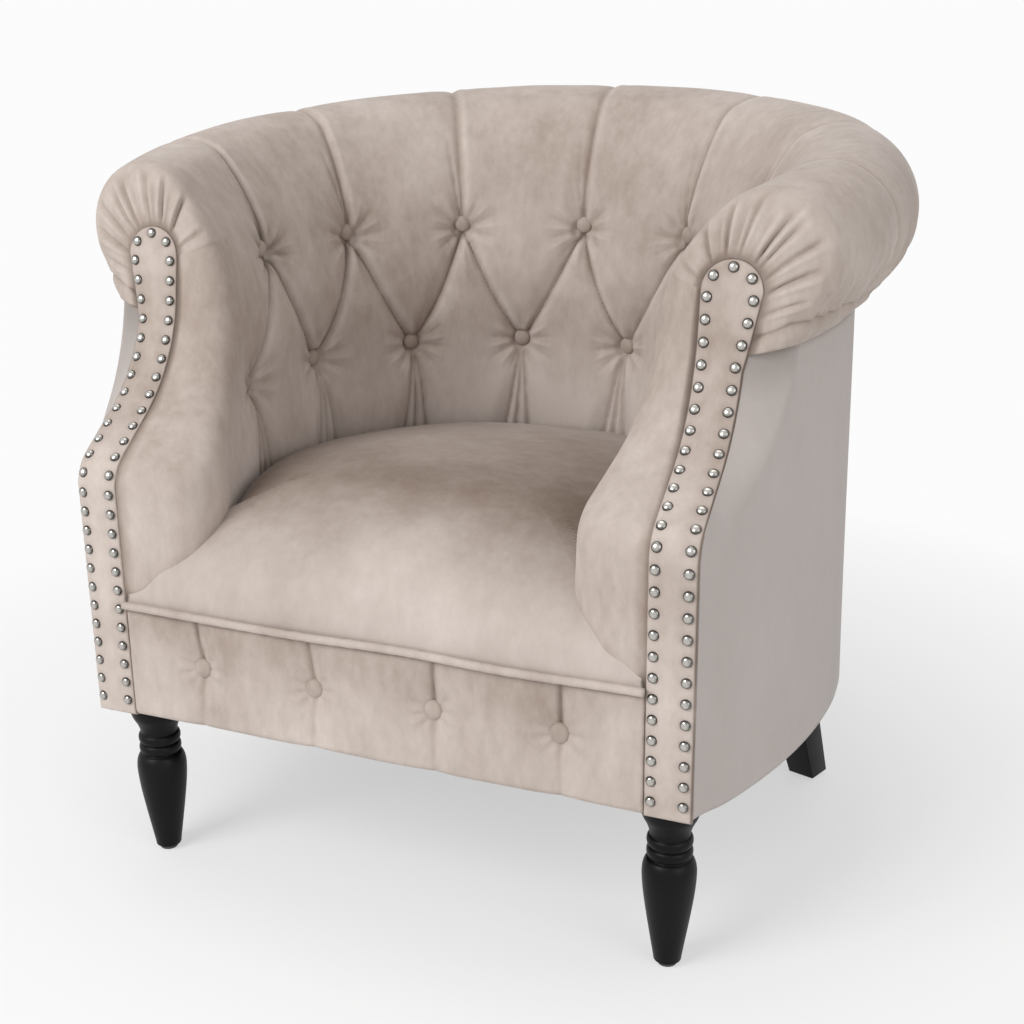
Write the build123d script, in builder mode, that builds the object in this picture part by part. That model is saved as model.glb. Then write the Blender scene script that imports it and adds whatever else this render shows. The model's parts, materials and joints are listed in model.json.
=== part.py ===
"""Barrel-backed club chair with a rolled, button-tufted back, nailhead arm facings and turned legs.

Millimetres, +Z up. The origin is on the floor, under the middle of the chair's outer box.
The chair faces -Y. A setback is a distance behind the front plane of the arm facings.
An inset is a distance inside the barrel, the curved outside of the chair seen from above.
"""

import os
from math import asin, cos, hypot, radians, sin, sqrt

from build123d import *

os.makedirs("parts", exist_ok=True)

# Overall size
INCH = 25.4
RIGHT_ANGLE = 90.0
OVERALL_WIDTH = 33.00 * INCH
OVERALL_DEPTH = 29.60 * INCH
OVERALL_HEIGHT = 30.25 * INCH

# Clearances
SOFT_GAP = 0.3
FIT_GAP = 0.2
CUSHION_GAP = 1.5
FRAME_GAP = 0.9

# Levels
BASE_Z = 179.0
DUST_COVER_THICKNESS = 1.5
BASE_PLATE_THICKNESS = 18.0
SPRING_RAIL_TOP = 238.0
PAD_FOOT_Z = 250.0
SEAT_FOAM_HEIGHT = 50.0
SEAM_Z = 580.0

# Barrel seen from above: a half circle behind two long arcs that draw in towards the front
ROLL_OVERHANG = 41.1
BARREL_SIDE_RADIUS = 689.0
BARREL_SETBACK = 290.0
RAKE_AT_BASE = -13.0
RAKE_AT_SEAM = 22.0
SEAM_INSET = 8.0
COVER_THICKNESS = 2.5
LINER_THICKNESS = 3.0

# Arm facings, an S-shaped strip that sweeps back as it rises
FACING_OUTER_INSET = 61.0
FACING_WIDTH = 45.0
FACING_FLARE = 13.0
FACING_FLARE_START_Z = 560.0
FACING_CAP_RADIUS = 29.0
FACING_TOP_Z = 657.0
FACING_THICKNESS = 5.0
KNEE_Z = 418.0
KNEE_RADIUS = 40.0
SLOPE_ANGLE = 36.0
SLOPE_LENGTH = 53.8
NECK_RADIUS = 164.0
NECK_ANGLE = 82.0
FORMER_THICKNESS = 18.0
FORMER_MARGIN = 9.0

# Nailheads
NAIL_DIAMETER = 9.6
NAIL_HEIGHT = 3.4
NAIL_INSET = 7.5
NAIL_LIFT = 0.1
NAIL_PITCH = 20.0
NAIL_START_Z = 196.0

# Tufted back, arms and roll
ARM_LOWER_INSET = 143.0
ARM_UPPER_INSET = 132.0
BACK_LOWER_INSET = 146.0
BACK_UPPER_INSET = 123.0
PAD_FOOT_SPREAD = 3.0
PAD_HEEL_INSET = 66.0
PAD_LEDGE_INSET = 52.0
PAD_SEAM_INSET = 12.0
PAD_BULGE = 6.0
LOWER_BUTTON_Z = 480.0
UPPER_BUTTON_Z = 614.0
BUTTON_RING_INSET = 116.0
BUTTON_TURN = 30.616
UPPER_BUTTON_COUNT = 7
TUFT_DEPTH = 22.0
CREASE_DEPTH = 6.0
ROLL_PUFF = 2.0
ROLL_SKIN_SWELL = 1.0
ROLL_SHOULDER_ANGLE = 45.0
ROLL_HAUNCH_ANGLE = 67.5
ROLL_UNDER_ANGLE = 35.0
ROLL_RADIUS_FRONT = 62.0
ROLL_RADIUS_SIDE = 66.0
ROLL_RADIUS_BACK = 80.0
ROLL_HEIGHT_FRONT = 652.0
ROLL_HEIGHT_SIDE = 665.0
ROLL_INSET_FRONT = 41.0
ROLL_END_SETBACK = 130.0
ROLL_END_LENGTH = 45.0
ROLL_END_SHARES = (1.0, 0.65, 0.35, 0.12, 0.0)
ARM_NOSE_STEPS = ((2.0, 46.0, 18.0), (20.0, 24.0, 55.0), (75.0, 60.0, 0.0))

# Covered buttons
BUTTON_DIAMETER = 19.0
BUTTON_THICKNESS = 7.0
BUTTON_RIM = 2.5
BUTTON_POCKET_DEPTH = 4.0
BUTTON_POCKET_REACH = 125.0

# Seat
SEAT_NOSE_SETBACK = 2.0
SEAT_NOSE_HEIGHT = 16.0
SEAT_NOSE_LENGTH = 190.0
SEAT_NOSE_STATIONS = 7
SEAT_CROWN_Z = 428.0
SEAT_CROWN_ARCH = 50.0
SEAT_REAR_DROP = 56.0
SEAT_REAR_SETBACK = 540.0
SEAT_REAR_STATIONS = 5
WELT_DIAMETER = 8.2

# Front apron
APRON_TOP_GAP = 6.5
APRON_TUCK_DEPTH = 5.0
APRON_CROWN = 4.0
APRON_BUTTON_SHARE = 0.4654
APRON_BUTTON_COUNT = 4
APRON_BUTTON_Z = 242.0
APRON_END_GAP = 1.0

# Base frame
RING_WIDTH = 106.0
PLATE_FRONT_WIDTH = 57.0
RAIL_THICKNESS = 25.0
SIDE_RAIL_THICKNESS = 22.0
SIDE_RAIL_INSET = 92.0
BACK_RAIL_INSET = 152.0
BACK_RAIL_HALF_ANGLE = 52.0
CORNER_BLOCK_HEIGHT = 46.0
UPRIGHT_DEPTH = 18.0
UPRIGHT_WIDTH = 60.0
UPRIGHT_INSET = 24.0
UPRIGHT_COUNT = 5
UPRIGHT_STEP = 42.0
HOOP_THICKNESS = 18.0
HOOP_WIDTH = 31.0

# Seat suspension
SPRING_WIRE = 3.8
SPRING_COUNT = 5
SPRING_SPACING = 76.0
SPRING_PITCH = 38.0
SPRING_HALF_WIDTH = 21.0
SPRING_BEND_RADIUS = 10.0
SPRING_END_MARGIN = 9.0
CLIP_SIZE = (16.0, 6.0, 7.0)

# Legs
FRONT_LEG_INSET = 95.1
FRONT_LEG_SETBACK = 50.8
REAR_LEG_TOP_INSET = 83.0
REAR_LEG_TOP_SETBACK = 415.0
REAR_LEG_FOOT_INSET = 59.0
REAR_LEG_FOOT_SETBACK = 475.0
REAR_LEG_YAW = 17.5
REAR_LEG_TOP_SIZE = 46.0
REAR_LEG_FOOT_SIZE = 32.0
LEG_HOLE_GAP = 1.0
COLLAR_RADIUS = 28.0
COLLAR_FOOT_Z = 142.0
RING_RADIUS = 21.7
RING_TOP_Z = 138.5
RING_HEIGHT = 11.5
RING_COUNT = 2
NECK_WAIST_RADIUS = 19.6
BULB_RADIUS = 25.8
BULB_Z = 97.0
BELL_SHARES = (0.25, 0.75)
SWELL_SHARES = (0.8, 0.6)
SHANK_SHARES = (0.42, 0.5)
FOOT_RADIUS = 13.5
GLIDE_HEIGHT = 4.0
GLIDE_RADIUS = 9.0
BOLT_RADIUS = 4.0
BOLT_DEPTH = 35.0
NUT_FLANGE_RADIUS = 11.0
NUT_FLANGE_HEIGHT = 2.0
NUT_BARREL_RADIUS = 5.5
NUT_BARREL_LENGTH = 9.0

# Places worked out from the sizes above
BARREL_RADIUS = OVERALL_WIDTH / 2 - ROLL_OVERHANG
FACING_OUTER_X = BARREL_RADIUS - FACING_OUTER_INSET
FACING_INNER_X = FACING_OUTER_X - FACING_WIDTH
FRONT_LEG_X = BARREL_RADIUS - FRONT_LEG_INSET
REAR_LEG_TOP_X = BARREL_RADIUS - REAR_LEG_TOP_INSET
REAR_LEG_FOOT_X = BARREL_RADIUS - REAR_LEG_FOOT_INSET
SIDE_RAIL_X = BARREL_RADIUS - SIDE_RAIL_INSET
BACK_RAIL_RADIUS = BARREL_RADIUS - BACK_RAIL_INSET
BUTTON_RING_RADIUS = BARREL_RADIUS - BUTTON_RING_INSET
BUTTON_SPACING = BUTTON_RING_RADIUS * radians(BUTTON_TURN)
APRON_BUTTON_SPACING = FACING_INNER_X * APRON_BUTTON_SHARE
FACING_FRONT = -OVERALL_DEPTH / 2 + WELT_DIAMETER + SOFT_GAP - SEAT_NOSE_SETBACK
FRAME_FRONT = FACING_FRONT + FACING_THICKNESS + FORMER_THICKNESS
CORNER_BLOCK = 2 * (FRONT_LEG_SETBACK - FACING_THICKNESS - FORMER_THICKNESS)
BARREL_Y = FACING_FRONT + BARREL_SETBACK
PLATE_BOTTOM = BASE_Z + DUST_COVER_THICKNESS
PLATE_TOP = PLATE_BOTTOM + BASE_PLATE_THICKNESS
HOOP_BOTTOM = SEAM_Z - HOOP_THICKNESS
SEAT_BOTTOM = PAD_FOOT_Z + SEAT_FOAM_HEIGHT
LINER_INSET = COVER_THICKNESS + SOFT_GAP
FRAME_INSET = LINER_INSET + LINER_THICKNESS + FRAME_GAP
ROLL_BACK_INSET = BARREL_RADIUS + BARREL_Y + ROLL_RADIUS_BACK - OVERALL_DEPTH / 2
ROLL_SIDE_INSET = ROLL_RADIUS_SIDE + ROLL_SKIN_SWELL - ROLL_OVERHANG
ROLL_HEIGHT_BACK = OVERALL_HEIGHT - ROLL_RADIUS_BACK
SEAT_FRONT = FACING_FRONT + SEAT_NOSE_SETBACK
APRON_TOP = SEAT_BOTTOM - APRON_TOP_GAP
CAP_Z = FACING_TOP_Z - FACING_CAP_RADIUS
CAP_X = FACING_OUTER_X + FACING_FLARE - FACING_CAP_RADIUS
BEYOND = 500.0
SIDES = {"right": 1, "left": -1}


def finish(builder, label):
    """Name a finished piece and write it to its own file."""
    builder.part.label = label
    export_step(builder.part, f"parts/{label}.step")


def mix(start, end, share):
    """The value a share of the way from start to end."""
    return start + (end - start) * share


def part_way(start, end, shares):
    """The point some shares of the way from start to end, across and down."""
    return mix(start[0], end[0], shares[0]), mix(start[1], end[1], shares[1])


def rake(z):
    """How far back the barrel stands at a height, because its back leans."""
    return mix(RAKE_AT_BASE, RAKE_AT_SEAM, (z - BASE_Z) / (SEAM_Z - BASE_Z))


def barrel_side(y, inset=0.0):
    """Half width of the barrel's long side arc at y."""
    radius = BARREL_SIDE_RADIUS - inset
    centre_x = BARREL_RADIUS - BARREL_SIDE_RADIUS
    return centre_x + sqrt(radius**2 - (y - BARREL_Y) ** 2)


def barrel_path(inset, shift, front_y):
    """Draw the barrel's outline from the right front round the back, and return its two ends.

    The shift stretches the back half to the rear, which leaves the sides where they are.
    """
    radius = BARREL_RADIUS - inset
    middle_y = (front_y + BARREL_Y) / 2
    front_x = barrel_side(front_y, inset)
    middle_x = barrel_side(middle_y, inset)
    ThreePointArc((front_x, front_y), (middle_x, middle_y), (radius, BARREL_Y))
    for start in (0, RIGHT_ANGLE):
        EllipticalCenterArc((0, BARREL_Y), radius, radius + shift, start_angle=start, arc_size=RIGHT_ANGLE)
    ThreePointArc((-radius, BARREL_Y), (-middle_x, middle_y), (-front_x, front_y))
    return (front_x, front_y), (-front_x, front_y)


def barrel_band(z, shift, outer_inset, width, front_y):
    """A level U-shaped face that follows the barrel, from an inset inwards."""
    with BuildSketch(Plane.XY.offset(z)) as band:
        with BuildLine():
            outer_ends = barrel_path(outer_inset, shift, front_y)
            inner_ends = barrel_path(outer_inset + width, shift, front_y)
            for outer_end, inner_end in zip(outer_ends, inner_ends):
                Line(outer_end, inner_end)
        make_face()
    return band.sketch


def facing_curve(depth, bottom_z, top_z):
    """Draw the facing's S curve, moved back by depth, and return its lower and upper ends."""
    front_y = FACING_FRONT + depth
    shin = Line((front_y, bottom_z), (front_y, KNEE_Z))
    knee = JernArc(shin @ 1, shin % 1, KNEE_RADIUS, SLOPE_ANGLE - 90)
    slope = PolarLine(knee @ 1, SLOPE_LENGTH, direction=knee % 1)
    neck = JernArc(slope @ 1, slope % 1, NECK_RADIUS, NECK_ANGLE - SLOPE_ANGLE)
    rise = top_z - (neck @ 1).Y
    PolarLine(neck @ 1, rise / sin(radians(NECK_ANGLE)), direction=neck % 1)
    end_y = (neck @ 1).X + rise * cos(radians(NECK_ANGLE)) / sin(radians(NECK_ANGLE))
    return (front_y, bottom_z), (end_y, top_z)


def space_ahead(x, depth):
    """The side view, at x, of all that lies ahead of the facing's S curve moved back by depth."""
    far_y = FACING_FRONT - BEYOND
    low_z = BASE_Z - BASE_PLATE_THICKNESS
    high_z = OVERALL_HEIGHT + BASE_PLATE_THICKNESS
    with BuildSketch(Plane.YZ.offset(x)) as space:
        with BuildLine():
            low_end, high_end = facing_curve(depth, low_z, high_z)
            Polyline(low_end, (far_y, low_z), (far_y, high_z), high_end)
        make_face()
    return space.sketch


def facing_strip(start_depth, thickness, bottom_z):
    """The side view of a strip that follows the facing's S curve."""
    with BuildSketch(Plane.YZ) as strip:
        with BuildLine():
            near_ends = facing_curve(start_depth, bottom_z, FACING_TOP_Z)
            far_ends = facing_curve(start_depth + thickness, bottom_z, FACING_TOP_Z)
            for near_end, far_end in zip(near_ends, far_ends):
                Line(near_end, far_end)
        make_face()
    return strip.sketch


def facing_outline(margin, bottom_z):
    """The front view of the right facing, drawn in by margin."""
    inner_x = FACING_INNER_X + margin
    outer_x = FACING_OUTER_X - margin
    cap_radius = FACING_CAP_RADIUS - margin
    cap_right = (CAP_X + cap_radius, CAP_Z)
    cap_left = (CAP_X - cap_radius, CAP_Z)
    with BuildSketch(Plane.XZ) as outline:
        with BuildLine():
            Polyline(
                cap_left,
                (inner_x, FACING_FLARE_START_Z),
                (inner_x, bottom_z),
                (outer_x, bottom_z),
                (outer_x, FACING_FLARE_START_Z),
                cap_right,
            )
            ThreePointArc(cap_right, (CAP_X, CAP_Z + cap_radius), cap_left)
        make_face()
    return outline.sketch


def facing_piece(start_depth, thickness, margin, bottom_z):
    """A right-hand strip that follows the S curve and has the facing's front outline."""
    extrude(facing_strip(start_depth, thickness, bottom_z), amount=BEYOND)
    extrude(facing_outline(margin, bottom_z), amount=BEYOND, both=True, mode=Mode.INTERSECT)


# Arm facings and the plywood formers behind them
with BuildPart() as right_facing:
    facing_piece(0, FACING_THICKNESS, 0, BASE_Z)
finish(right_facing, "right_arm_facing")

with BuildPart() as left_facing:
    mirror(right_facing.part, about=Plane.YZ)
finish(left_facing, "left_arm_facing")

with BuildPart() as right_former:
    facing_piece(FACING_THICKNESS, FORMER_THICKNESS, FORMER_MARGIN, PLATE_BOTTOM)
finish(right_former, "right_arm_former")

with BuildPart() as left_former:
    mirror(right_former.part, about=Plane.YZ)
finish(left_former, "left_arm_former")

# Nailheads, evenly spaced along the facing's edge and over its rounded top
with BuildLine() as facing_side:
    facing_curve(0, BASE_Z, FACING_TOP_Z)

facing_side_wire = facing_side.wire()
curve_extra = facing_side_wire.length - (FACING_TOP_Z - BASE_Z)
nail_start = NAIL_START_Z - BASE_Z
flare_start = FACING_FLARE_START_Z - BASE_Z + curve_extra
cap_height = CAP_Z - BASE_Z + curve_extra
nail_cap_radius = FACING_CAP_RADIUS - NAIL_INSET

with BuildLine() as nail_row:
    Polyline(
        (FACING_OUTER_X - NAIL_INSET, nail_start),
        (FACING_OUTER_X - NAIL_INSET, flare_start),
        (CAP_X + nail_cap_radius, cap_height),
    )
    ThreePointArc(
        (CAP_X + nail_cap_radius, cap_height),
        (CAP_X, cap_height + nail_cap_radius),
        (CAP_X - nail_cap_radius, cap_height),
    )
    Polyline(
        (CAP_X - nail_cap_radius, cap_height),
        (FACING_INNER_X + NAIL_INSET, flare_start),
        (FACING_INNER_X + NAIL_INSET, nail_start),
    )

nail_wire = nail_row.wire()
nail_count = round(nail_wire.length / NAIL_PITCH)
nail_places = []
for index in range(nail_count + 1):
    spot = nail_wire.position_at(index / nail_count)
    share = spot.Y / facing_side_wire.length
    point = facing_side_wire.position_at(share)
    along = facing_side_wire.tangent_at(share)
    seat_plane = Plane((spot.X, point.X, point.Y), x_dir=(1, 0, 0), z_dir=(0, -along.Y, along.X))
    nail_places.append(seat_plane.offset(NAIL_LIFT).location)


def dome_arc(radius, rim_z, height):
    """Draw half of a dome's outline, part of a circle centred on the Z axis."""
    sphere_radius = (radius**2 + height**2) / (2 * height)
    centre_z = rim_z + height - sphere_radius
    half_angle = asin(min(radius / sphere_radius, 1)) / 2
    halfway = (sphere_radius * sin(half_angle), centre_z + sphere_radius * cos(half_angle))
    return ThreePointArc((radius, rim_z), halfway, (0, rim_z + height))


with BuildPart() as nailhead:
    with BuildSketch(Plane.XZ):
        with BuildLine():
            dome = dome_arc(NAIL_DIAMETER / 2, 0, NAIL_HEIGHT)
            Polyline(dome @ 1, (0, 0), dome @ 0)
        make_face()
    revolve(axis=Axis.Z)

with BuildPart() as right_nails:
    with Locations(*nail_places):
        add(nailhead.part)
finish(right_nails, "right_nailheads")

with BuildPart() as left_nails:
    mirror(right_nails.part, about=Plane.YZ)
finish(left_nails, "left_nailheads")

# Outside cover and the fibreboard liner under it
def barrel_shell(bottom_z, inset, thickness, front_depth):
    """A thin raked shell from bottom_z to the seam under the roll, open at the front."""
    seam_z = SEAM_Z - SOFT_GAP
    lower = barrel_band(bottom_z, rake(bottom_z), inset, thickness, FACING_FRONT)
    upper = barrel_band(seam_z, rake(seam_z), inset + SEAM_INSET, thickness, FACING_FRONT)
    loft([lower, upper], ruled=True)
    extrude(space_ahead(0, front_depth + SOFT_GAP), amount=BEYOND, both=True, mode=Mode.SUBTRACT)


with BuildPart() as outside_cover:
    barrel_shell(BASE_Z, 0, COVER_THICKNESS, FACING_THICKNESS)
finish(outside_cover, "outside_cover")

with BuildPart() as shell_liner:
    barrel_shell(PLATE_BOTTOM, LINER_INSET, LINER_THICKNESS, FACING_THICKNESS + FORMER_THICKNESS)
finish(shell_liner, "shell_liner")


# Tufted pad: arms, back and roll in one run of sections round the barrel
def arm_plane(side, y):
    """The upright plane across an arm at y, with its origin on the barrel and X pointing out."""
    return Plane((side * barrel_side(y), y, 0), x_dir=(side, 0, 0), z_dir=(0, -side, 0))


def back_plane(angle):
    """The upright plane across the back at an angle from +X, with X pointing out."""
    out_x = cos(radians(angle))
    out_y = sin(radians(angle))
    origin = (BARREL_RADIUS * out_x, BARREL_Y + BARREL_RADIUS * out_y, 0)
    return Plane(origin, x_dir=(out_x, out_y, 0), z_dir=(out_y, -out_x, 0))


def pad_levels(wrap):
    """Insets of the pad's plump face at the lower and upper buttons; wrap is 1 at the back."""
    lower = mix(ARM_LOWER_INSET, BACK_LOWER_INSET, wrap)
    upper = mix(ARM_UPPER_INSET, BACK_UPPER_INSET, wrap)
    return lower, upper


def pad_section(plane, wrap, roll, lower_tuft=0.0, upper_tuft=0.0):
    """One section of the pad; the tufts say how deep its buttons are drawn in there."""
    roll_x, roll_z, roll_radius = roll
    lower_inset, upper_inset = pad_levels(wrap)
    crease = CREASE_DEPTH * lower_tuft / TUFT_DEPTH
    pleat = CREASE_DEPTH * upper_tuft / TUFT_DEPTH - ROLL_PUFF
    foot = Vector(-lower_inset - PAD_FOOT_SPREAD + crease, PAD_FOOT_Z)
    lower = Vector(-lower_inset + lower_tuft, LOWER_BUTTON_Z)
    upper = Vector(-upper_inset + upper_tuft, UPPER_BUTTON_Z)
    centre = Vector(roll_x, roll_z)
    shoulder = centre + Vector(pleat - roll_radius, 0).rotate(Axis.Z, -ROLL_SHOULDER_ANGLE)
    haunch = centre + Vector(pleat / 2 - roll_radius, 0).rotate(Axis.Z, -ROLL_HAUNCH_ANGLE)
    crest = centre + Vector(0, roll_radius)
    outward = Vector(roll_radius, 0)
    brow = centre + outward
    seam = Vector(-PAD_SEAM_INSET + RAKE_AT_SEAM * wrap**2, SEAM_Z)
    ledge = Vector(-PAD_LEDGE_INSET + RAKE_AT_SEAM * wrap**2, SEAM_Z)
    heel = Vector(-PAD_HEEL_INSET + rake(PAD_FOOT_Z) * wrap**2, PAD_FOOT_Z)
    bulge = Vector(-PAD_BULGE, 0)
    with BuildSketch(plane) as section:
        with BuildLine():
            ThreePointArc(foot, (foot + lower) / 2 + bulge, lower)
            ThreePointArc(lower, (lower + upper) / 2 + bulge, upper)
            ThreePointArc(upper, (upper + shoulder) / 2 + bulge, shoulder)
            ThreePointArc(shoulder, haunch, crest)
            ThreePointArc(crest, centre + outward.rotate(Axis.Z, ROLL_SHOULDER_ANGLE), brow)
            ThreePointArc(brow, centre + outward.rotate(Axis.Z, -ROLL_UNDER_ANGLE), seam)
            Polyline(seam, ledge, heel, foot)
        make_face()
    return section.sketch


def arm_roll(y):
    """Centre and radius of the roll on an arm at y; its front end narrows to the facing's cap."""
    end_share = min(max((y - FACING_FRONT - ROLL_END_SETBACK) / ROLL_END_LENGTH, 0), 1)
    fullness = sqrt(1 - (1 - end_share) ** 2)
    way_back = min(max((y - FACING_FRONT - ROLL_END_SETBACK) / (BARREL_SETBACK - ROLL_END_SETBACK), 0), 1)
    full_x = -mix(ROLL_INSET_FRONT, ROLL_SIDE_INSET, way_back)
    full_z = mix(ROLL_HEIGHT_FRONT, ROLL_HEIGHT_SIDE, way_back)
    full_radius = mix(ROLL_RADIUS_FRONT, ROLL_RADIUS_SIDE, way_back)
    end_x = CAP_X - barrel_side(y)
    roll_x = mix(end_x, full_x, fullness)
    roll_z = mix(CAP_Z, full_z, fullness)
    return roll_x, roll_z, mix(FACING_CAP_RADIUS, full_radius, fullness)


def back_roll(wrap):
    """Centre and radius of the roll round the back."""
    roll_x = -mix(ROLL_SIDE_INSET, ROLL_BACK_INSET, wrap)
    roll_z = mix(ROLL_HEIGHT_SIDE, ROLL_HEIGHT_BACK, wrap)
    return roll_x, roll_z, mix(ROLL_RADIUS_SIDE, ROLL_RADIUS_BACK, wrap)


def button_station(steps):
    """Where a button stands, a number of half spacings round from the middle of the back.

    Returns the plane across the pad there, its wrap and the roll's centre and radius.
    """
    run = abs(steps) * BUTTON_SPACING / 2
    quarter = BUTTON_RING_RADIUS * radians(90)
    side = 1 if steps > 0 else -1
    if run < quarter:
        turn = run / BUTTON_RING_RADIUS
        plane = back_plane(90 - side * turn * 180 / radians(180))
        return plane, cos(turn), back_roll(cos(turn))
    y = BARREL_Y - (run - quarter)
    return arm_plane(side, y), 0.0, arm_roll(y)


arm_end_ys = [FACING_FRONT + ROLL_END_SETBACK + ROLL_END_LENGTH * share for share in ROLL_END_SHARES]
arm_end_ys.append(FACING_FRONT - FACING_THICKNESS)
lower_steps = range(-UPPER_BUTTON_COUNT, UPPER_BUTTON_COUNT + 1, 2)
upper_steps = range(1 - UPPER_BUTTON_COUNT, UPPER_BUTTON_COUNT, 2)


def button_seats(steps, row_z, row):
    """The planes on which a row of back buttons is seated, facing into the chair."""
    seats = []
    for step in steps:
        plane, wrap, _ = button_station(step)
        inset = pad_levels(wrap)[row] - TUFT_DEPTH - BUTTON_POCKET_DEPTH
        origin = plane.origin - plane.x_dir * inset + Vector(0, 0, row_z)
        seats.append(Plane(origin, x_dir=plane.z_dir, z_dir=-plane.x_dir).location)
    return seats


lower_seats = button_seats(lower_steps, LOWER_BUTTON_Z, 0)
upper_seats = button_seats(upper_steps, UPPER_BUTTON_Z, 1)

right_end_sections = [pad_section(arm_plane(1, y), 0.0, arm_roll(y)) for y in arm_end_ys]
left_end_sections = [pad_section(arm_plane(-1, y), 0.0, arm_roll(y)) for y in arm_end_ys]
tufted_sections = []
for step in range(UPPER_BUTTON_COUNT, -UPPER_BUTTON_COUNT - 1, -1):
    lower_tuft = TUFT_DEPTH if step in lower_steps else 0.0
    upper_tuft = TUFT_DEPTH - lower_tuft
    tufted_sections.append(pad_section(*button_station(step), lower_tuft, upper_tuft))

with BuildPart() as tufted_pad:
    loft([right_end_sections[0], *tufted_sections, left_end_sections[0]])
    loft(right_end_sections, ruled=True)
    loft(left_end_sections, ruled=True)
    # The front ends stop behind the formers, and the inner corners of the arms are rounded off
    for side in SIDES.values():
        former_back = FACING_THICKNESS + FORMER_THICKNESS + SOFT_GAP
        extrude(space_ahead(side * FACING_INNER_X, former_back), amount=side * BEYOND, mode=Mode.SUBTRACT)
        nose_x = FACING_INNER_X
        for depth, inward, back in ARM_NOSE_STEPS:
            corner = space_ahead(side * nose_x, depth)
            extrude(corner, amount=hypot(inward, back), dir=(-side * inward, back, 0), mode=Mode.SUBTRACT)
            nose_x -= inward
    # The apron passes in front of the pad's foot
    with BuildSketch(Plane.XY.offset(PAD_FOOT_Z)):
        with Locations((0, FRAME_FRONT + SOFT_GAP)):
            Rectangle(2 * FACING_INNER_X, BEYOND, align=(Align.CENTER, Align.MAX))
    extrude(amount=APRON_TOP + SOFT_GAP - PAD_FOOT_Z, mode=Mode.SUBTRACT)
    # Pockets that the buttons are drawn down into
    with Locations(*lower_seats, *upper_seats):
        Cylinder(
            BUTTON_DIAMETER / 2 + SOFT_GAP,
            BUTTON_POCKET_REACH,
            align=(Align.CENTER, Align.CENTER, Align.MIN),
            mode=Mode.SUBTRACT,
        )
finish(tufted_pad, "tufted_back_pad")

# Covered buttons
with BuildPart() as button:
    with BuildSketch(Plane.XZ):
        with BuildLine():
            rim = Line((BUTTON_DIAMETER / 2, 0), (BUTTON_DIAMETER / 2, BUTTON_RIM))
            crown = dome_arc(BUTTON_DIAMETER / 2, BUTTON_RIM, BUTTON_THICKNESS - BUTTON_RIM)
            Polyline(crown @ 1, (0, 0), rim @ 0)
        make_face()
    revolve(axis=Axis.Z)

with BuildPart() as lower_buttons:
    with Locations(*lower_seats):
        add(button.part)
finish(lower_buttons, "lower_back_buttons")

with BuildPart() as upper_buttons:
    with Locations(*upper_seats):
        add(button.part)
finish(upper_buttons, "upper_back_buttons")


# Seat: sprung base, foam and crowned cushion
def seat_outline(z, nose_points):
    """The seat seen from above, inside the arms and back, with its right front corner as given."""
    inset = max(ARM_LOWER_INSET, BACK_LOWER_INSET) + PAD_FOOT_SPREAD + PAD_BULGE + CUSHION_GAP
    radius = BARREL_RADIUS - inset
    slant = radius * sin(radians(45))
    narrow_y = FACING_FRONT + ARM_NOSE_STEPS[-1][0]
    middle_y = (narrow_y + BARREL_Y) / 2
    narrow_x = barrel_side(narrow_y) - inset
    middle_x = barrel_side(middle_y) - inset
    with BuildSketch(Plane.XY.offset(z)) as outline:
        with BuildLine():
            for side in SIDES.values():
                edge = [(side * x, y) for x, y in nose_points]
                Polyline((0, edge[0][1]), *edge, (side * narrow_x, narrow_y))
                widest = (side * radius, BARREL_Y)
                ThreePointArc((side * narrow_x, narrow_y), (side * middle_x, middle_y), widest)
                ThreePointArc(widest, (side * slant, BARREL_Y + slant), (0, BARREL_Y + radius))
        make_face()
    return outline.sketch


seat_corner = []
corner_x = FACING_INNER_X - CUSHION_GAP
for depth, inward, _ in ARM_NOSE_STEPS[:-1]:
    seat_corner.append((corner_x, FACING_FRONT + depth))
    corner_x -= inward

with BuildPart() as seat_foam:
    foam_corner = (corner_x - CUSHION_GAP, FRAME_FRONT)
    extrude(seat_outline(PAD_FOOT_Z, [foam_corner]), amount=SEAT_FOAM_HEIGHT)
finish(seat_foam, "seat_foam")

seat_crest = SEAT_NOSE_SETBACK + SEAT_NOSE_LENGTH
seat_nose_z = SEAT_BOTTOM + SEAT_NOSE_HEIGHT
seat_stations = []
for index in range(SEAT_NOSE_STATIONS):
    turn = radians(90 * index / (SEAT_NOSE_STATIONS - 1))
    setback = seat_crest - SEAT_NOSE_LENGTH * cos(turn)
    seat_stations.append((setback, mix(seat_nose_z, SEAT_CROWN_Z, sin(turn))))
for index in range(1, SEAT_REAR_STATIONS + 1):
    share = index / SEAT_REAR_STATIONS
    setback = mix(seat_crest, SEAT_REAR_SETBACK, share)
    seat_stations.append((setback, SEAT_CROWN_Z - SEAT_REAR_DROP * share**2))

with BuildPart() as seat_cushion:
    for setback, crown_z in seat_stations:
        arch = 1 + SEAT_CROWN_ARCH * (crown_z - seat_nose_z) / (SEAT_CROWN_Z - seat_nose_z)
        edge_z = crown_z - arch
        with BuildSketch(Plane.XZ.offset(-FACING_FRONT - setback)):
            with BuildLine():
                top = ThreePointArc((-FACING_INNER_X, edge_z), (0, crown_z), (FACING_INNER_X, edge_z))
                Polyline(top @ 1, (FACING_INNER_X, SEAT_BOTTOM), (-FACING_INNER_X, SEAT_BOTTOM), top @ 0)
            make_face()
    loft()
    extrude(seat_outline(SEAT_BOTTOM, seat_corner), amount=BEYOND, mode=Mode.INTERSECT)
finish(seat_cushion, "seat_cushion")

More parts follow.
